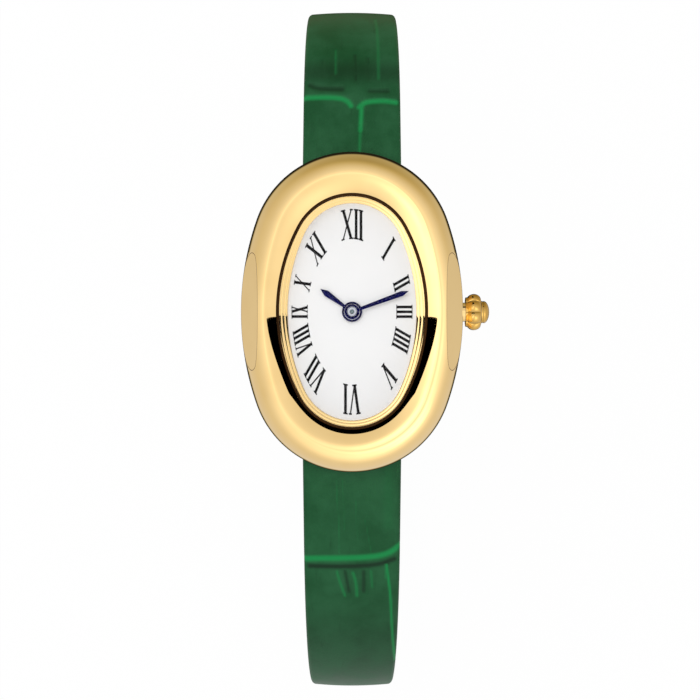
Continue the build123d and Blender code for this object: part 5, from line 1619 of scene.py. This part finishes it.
# The nodes that keep their CAD shape, by finish
CARRIED = {
    Finish.PLATE_BRASS: "main_plate train_bridge",
    Finish.MOVEMENT_BRASS: "centre_wheel hour_wheel intermediate_wheel minute_wheel third_wheel",
    Finish.STEEL: "battery battery_clamp cannon_pinion clutch_wheel coil_core lug_spring_bars "
    "movement_screws quartz_resonator rotor setting_lever setting_wheel stator stem",
    Finish.PIN_STEEL: "centre_pin",
    Finish.GOLD: "buckle_bar",
    Finish.WIRE: "coil",
    Finish.BOARD: "circuit_board",
    Finish.CHIP: "chip",
    Finish.HOLDER: "movement_holder",
    Finish.SEAL: "case_back_gasket crown_gasket",
    Finish.DIAL: "dial",
    Finish.INK: "numerals",
}


@dataclass
class Movement:
    """The quartz movement and the small pieces that keep their CAD shapes."""

    unmirrored: tuple[str, ...] = ("stem", "crown_gasket")

    def build(self, nodes: dict) -> None:
        """Dress the CAD nodes that stay.

        Args:
            nodes: The frame's objects by node name.
        """
        for finish, names in CARRIED.items():
            for name in names.split():
                piece = nodes[name]
                for index in range(len(piece.data.materials)):
                    piece.data.materials[index] = material(finish)
                if not piece.data.materials:
                    piece.data.materials.append(material(finish))
                piece.visible_glossy = name not in self.unmirrored
                LOG.info("%s dressed in %s", name, finish.name)


# Studio


@dataclass(frozen=True)
class Panel:
    """A soft light panel, or a flag where its strength is below 0, as polished metal shows it.

    Attributes:
        turn: Direction round Z from +X, in degrees.
        rise: Height over the horizon, in degrees.
        spread: How wide it fades; 0.02 is a spot and 0.5 half the sky.
        strength: What it adds to the studio's level.
    """

    turn: float
    rise: float
    spread: float
    strength: float

    def aim(self) -> Vector:
        """The direction to the panel, of length one."""
        turn, rise = math.radians(self.turn), math.radians(self.rise)
        return Vector((math.cos(rise) * math.cos(turn), math.cos(rise) * math.sin(turn), math.sin(rise)))


@dataclass(frozen=True)
class Glow:
    """How bright the studio looks in polished metal: a level and the panels that stand in it."""

    base: float
    panels: tuple[Panel, ...]

    def level(self, graph: Graph, direction: Socket) -> Socket:
        """Brightness of the studio.

        Args:
            graph: The tree that the nodes go into.
            direction: Where the metal looks, of length one.

        Returns:
            The brightness there.
        """
        total = self.base
        for panel in self.panels:
            dot = graph.vector("DOT_PRODUCT", direction, tuple(panel.aim()))
            fall = graph.math("MULTIPLY_ADD", dot, 1 / panel.spread, -1 / panel.spread)
            total = graph.math("MULTIPLY_ADD", graph.math("EXPONENT", fall), panel.strength, total)
        return graph.math("MAXIMUM", total, 0.03)

    def tint(self, graph: Graph, level: Socket) -> Socket:
        """A warmer white where the studio is dimmer."""
        return graph.mix(graph.ramp(level, 0.4, 0.85), (1.0, 0.9, 0.55, 1.0), (1.0, 1.0, 1.05, 1.0))


@dataclass
class Studio:
    """White floor, soft light, a dome with a dark panel, and the camera.

    Attributes:
        floor_height: Z of the floor, in millimetres.
        floor_white: How much of the floor's look is plain white to the camera.
        shadow: Half width and half length in metres of the floor's darker patch.
        shadow_shift: How far that patch lies towards +Y, as a share of its half length.
        camera_place: In millimetres.
        lens: Focal length, in millimetres.
        ambient: Strength of the even light from all round.
        lamp_watts: Power of the lamp.
        lamp_size: Its side, in metres.
        lamp_place: Its place, in metres.
        dome_radius: Radius of the backdrop, in metres.
        dome_height: Height of its middle, in millimetres.
        outside: What metal shows that faces away from the watch.
        across: What metal shows that looks across the watch.
        band_start: How far past the dome's middle the dark panel starts, as part of a direction.
        band_edge: Over how much of that the panel's near edge fades.
        band_slant: How much the near edge leans outwards.
        band_tilt: Slope of polished metal, in degrees, down to which the panel reaches along X.
        band_rise: Steepness with which its far edge falls from X towards Y.
        band_bend: Power that shapes that fall.
    """

    floor_height: float = -50.5
    floor_white: float = 0.97
    shadow: Pair = (0.0484, 0.055)
    shadow_shift: float = 0.16
    camera_place: Place = (-0.2, -3.8, 253.1)
    lens: float = 128.6
    ambient: float = 0.62
    lamp_watts: float = 1.7
    lamp_size: float = 0.5
    lamp_place: Place = (-0.12, 0.1, 0.56)
    dome_radius: float = 0.6
    dome_height: float = 7.2
    outside: Glow = Glow(
        0.74,
        (
            Panel(-67, 49, 0.32, 0.65),
            Panel(-44, 50, 0.03, 0.7),
            Panel(-45, 74, 0.02, 0.75),
            Panel(83, -19, 0.38, -0.35),
        ),
    )
    across: Glow = Glow(
        0.78,
        (
            Panel(-168, 44, 0.14, 0.65),
            Panel(-155, 69, 0.025, 0.75),
            Panel(135, 80, 0.012, 0.9),
            Panel(-53, 46, 0.2, 0.44),
        ),
    )
    band_start: float = 0.0143
    band_edge: float = 0.0005
    band_slant: float = 0.02
    band_tilt: float = 27.0
    band_rise: float = 1.03
    band_bend: float = 4.2

    def screen(self, maker: Maker, height: float, look: Material) -> Piece:
        """Place a piece of the studio.

        Args:
            maker: The piece in the making, about the origin.
            height: How far it is raised, in millimetres.
            look: Its material.

        Returns:
            The piece.
        """
        bmesh.ops.translate(maker.mesh, verts=maker.mesh.verts, vec=(0, 0, height * MM))
        piece = maker.object(Finish.STEEL, weld=False)
        piece.data.materials[0] = look
        return piece

    def floor(self) -> Piece:
        """The pale floor, with a painted shadow under the watch that only polished metal shows.

        Returns:
            The floor.
        """
        graph = Graph("floor_paper")
        grain = graph.noise(graph.place(), 90, 3)
        color = graph.mix(grain, srgb((253, 253, 253)), srgb((250, 250, 250)))
        paper = graph.add("ShaderNodeBsdfPrincipled", {"Base Color": color, "Roughness": 0.8})
        coords = graph.add("ShaderNodeTexCoord").outputs["Object"]
        level = self.outside.level(graph, graph.direction(coords, (0, 0, -0.0002)))
        wide, long = self.shadow
        under = graph.vector("MULTIPLY", coords, (1 / wide, 1 / long, 0))
        away = graph.vector("LENGTH", graph.vector("ADD", under, (0, -self.shadow_shift, 0)))
        shine = graph.math("MULTIPLY", level, graph.ramp(away, 0.7, 1.0, 0.03, 1.0))
        gleam = graph.add("ShaderNodeEmission", {"Color": self.outside.tint(graph, shine), "Strength": shine})
        glow = graph.add("ShaderNodeEmission", {"Color": (1, 1, 1, 1), "Strength": 1.0})
        light = graph.add("ShaderNodeLightPath").outputs
        seen = graph.math("MAXIMUM", light["Is Camera Ray"], light["Is Transmission Ray"])
        white = graph.blend(graph.math("MULTIPLY", seen, self.floor_white), paper, glow)
        mixed = graph.blend(light["Is Glossy Ray"], white, gleam)
        maker = Maker("floor")
        bmesh.ops.create_grid(maker.mesh, x_segments=8, y_segments=8, size=1.5)
        return self.screen(maker, self.floor_height, graph.finish(mixed))

    def backdrop(self) -> Piece:
        """A wide dome seen only in metal, by the slopes that look across the watch.

        Its half towards +Y has a dark panel that starts at the zenith along X and falls towards Y.

        Returns:
            The dome.
        """
        reach = self.dome_radius
        maker = Maker("backdrop_dome")
        bmesh.ops.create_uvsphere(maker.mesh, u_segments=384, v_segments=192, radius=reach)
        graph = Graph("backdrop_cloth")
        coords = graph.add("ShaderNodeTexCoord").outputs["Object"]
        direction = graph.direction(coords, (0, 0, -self.dome_height * MM))
        parts = graph.add("ShaderNodeSeparateXYZ", {0: direction}).outputs
        wide = graph.vector("LENGTH", graph.vector("MULTIPLY", direction, (1, 1, 0)))
        turn = graph.math("DIVIDE", parts["Y"], graph.math("MAXIMUM", wide, 0.0001))
        rest = graph.math("MULTIPLY_ADD", turn, -self.band_rise, self.band_rise)
        rest = graph.math("MINIMUM", rest, 1.0)
        bend = graph.math("POWER", graph.math("MAXIMUM", rest, 0.0), self.band_bend)
        most = math.radians(2 * self.band_tilt)
        limit = graph.math("COSINE", graph.math("MULTIPLY_ADD", bend, -most, most))
        below = graph.ramp(graph.math("SUBTRACT", limit, parts["Z"]), -0.001, 0.004)
        past = graph.math("MULTIPLY_ADD", wide, -self.band_slant, parts["Y"])
        ahead = graph.ramp(past, self.band_start, self.band_start + self.band_edge)
        dark = graph.math("MULTIPLY", below, ahead)
        light = graph.add("ShaderNodeLightPath").outputs
        share = graph.ramp(light["Ray Length"], reach + 0.00002, reach + 0.0001)
        level = self.across.level(graph, direction)
        color = graph.mix(dark, self.across.tint(graph, level), (0, 0, 0, 1))
        cloth = graph.add("ShaderNodeEmission", {"Color": color, "Strength": level})
        mixed = graph.blend(share, graph.add("ShaderNodeBsdfTransparent"), cloth)
        piece = self.screen(maker, self.dome_height, graph.finish(mixed))
        for ray in ("camera", "diffuse", "shadow", "transmission", "volume_scatter"):
            setattr(piece, f"visible_{ray}", False)
        return piece

    def world(self) -> None:
        """A white surround: plain to the camera, uneven in polished metal."""
        world = bpy.data.worlds.new("studio")
        bpy.context.scene.world = world
        graph = Graph("studio", world)
        level = self.outside.level(graph, graph.add("ShaderNodeTexCoord").outputs["Generated"])
        light = graph.add("ShaderNodeLightPath").outputs
        seen, shine, fill = (
            graph.add("ShaderNodeBackground", {"Color": color, "Strength": strength})
            for color, strength in (
                ((1, 1, 1, 1), 1.0),
                (self.outside.tint(graph, level), level),
                ((1, 1, 1, 1), self.ambient),
            )
        )
        lit = graph.blend(light["Is Glossy Ray"], fill, shine)
        graph.finish(graph.blend(light["Is Camera Ray"], lit, seen), "ShaderNodeOutputWorld")

    def lamp(self) -> None:
        """One large soft lamp overhead."""
        data = bpy.data.lights.new("overhead_lamp", "AREA")
        data.energy = self.lamp_watts
        data.size = self.lamp_size
        lamp = bpy.data.objects.new("overhead_lamp", data)
        lamp.location = self.lamp_place
        lamp.rotation_euler = (-lamp.location).to_track_quat("-Z", "Y").to_euler()
        lamp.visible_glossy = False
        lamp.visible_camera = False
        bpy.context.scene.collection.objects.link(lamp)

    def camera(self) -> None:
        """Straight down on the dial, at the photograph's frame."""
        data = bpy.data.cameras.new("camera")
        data.lens = self.lens
        data.sensor_width = 36.0
        data.clip_start = 0.001
        camera = bpy.data.objects.new("camera", data)
        camera.location = Vector(self.camera_place) * MM
        bpy.context.scene.collection.objects.link(camera)
        bpy.context.scene.camera = camera

    def build(self) -> None:
        """Set up the floor, backdrop, world, lamp and camera."""
        self.floor()
        self.backdrop()
        self.world()
        self.lamp()
        self.camera()
        bpy.context.scene.view_settings.view_transform = "Standard"


def main() -> None:
    """Load the frame, build every sub-assembly and set up the studio."""
    logging.basicConfig(level=logging.INFO, format="%(name)s: %(message)s")
    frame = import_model()
    CaseHead().build()
    Display().build()
    Crown().build()
    Strap().build()
    Buckle().build()
    Movement().build(frame["nodes"])
    Studio().build()


if __name__ == "__main__":
    main()
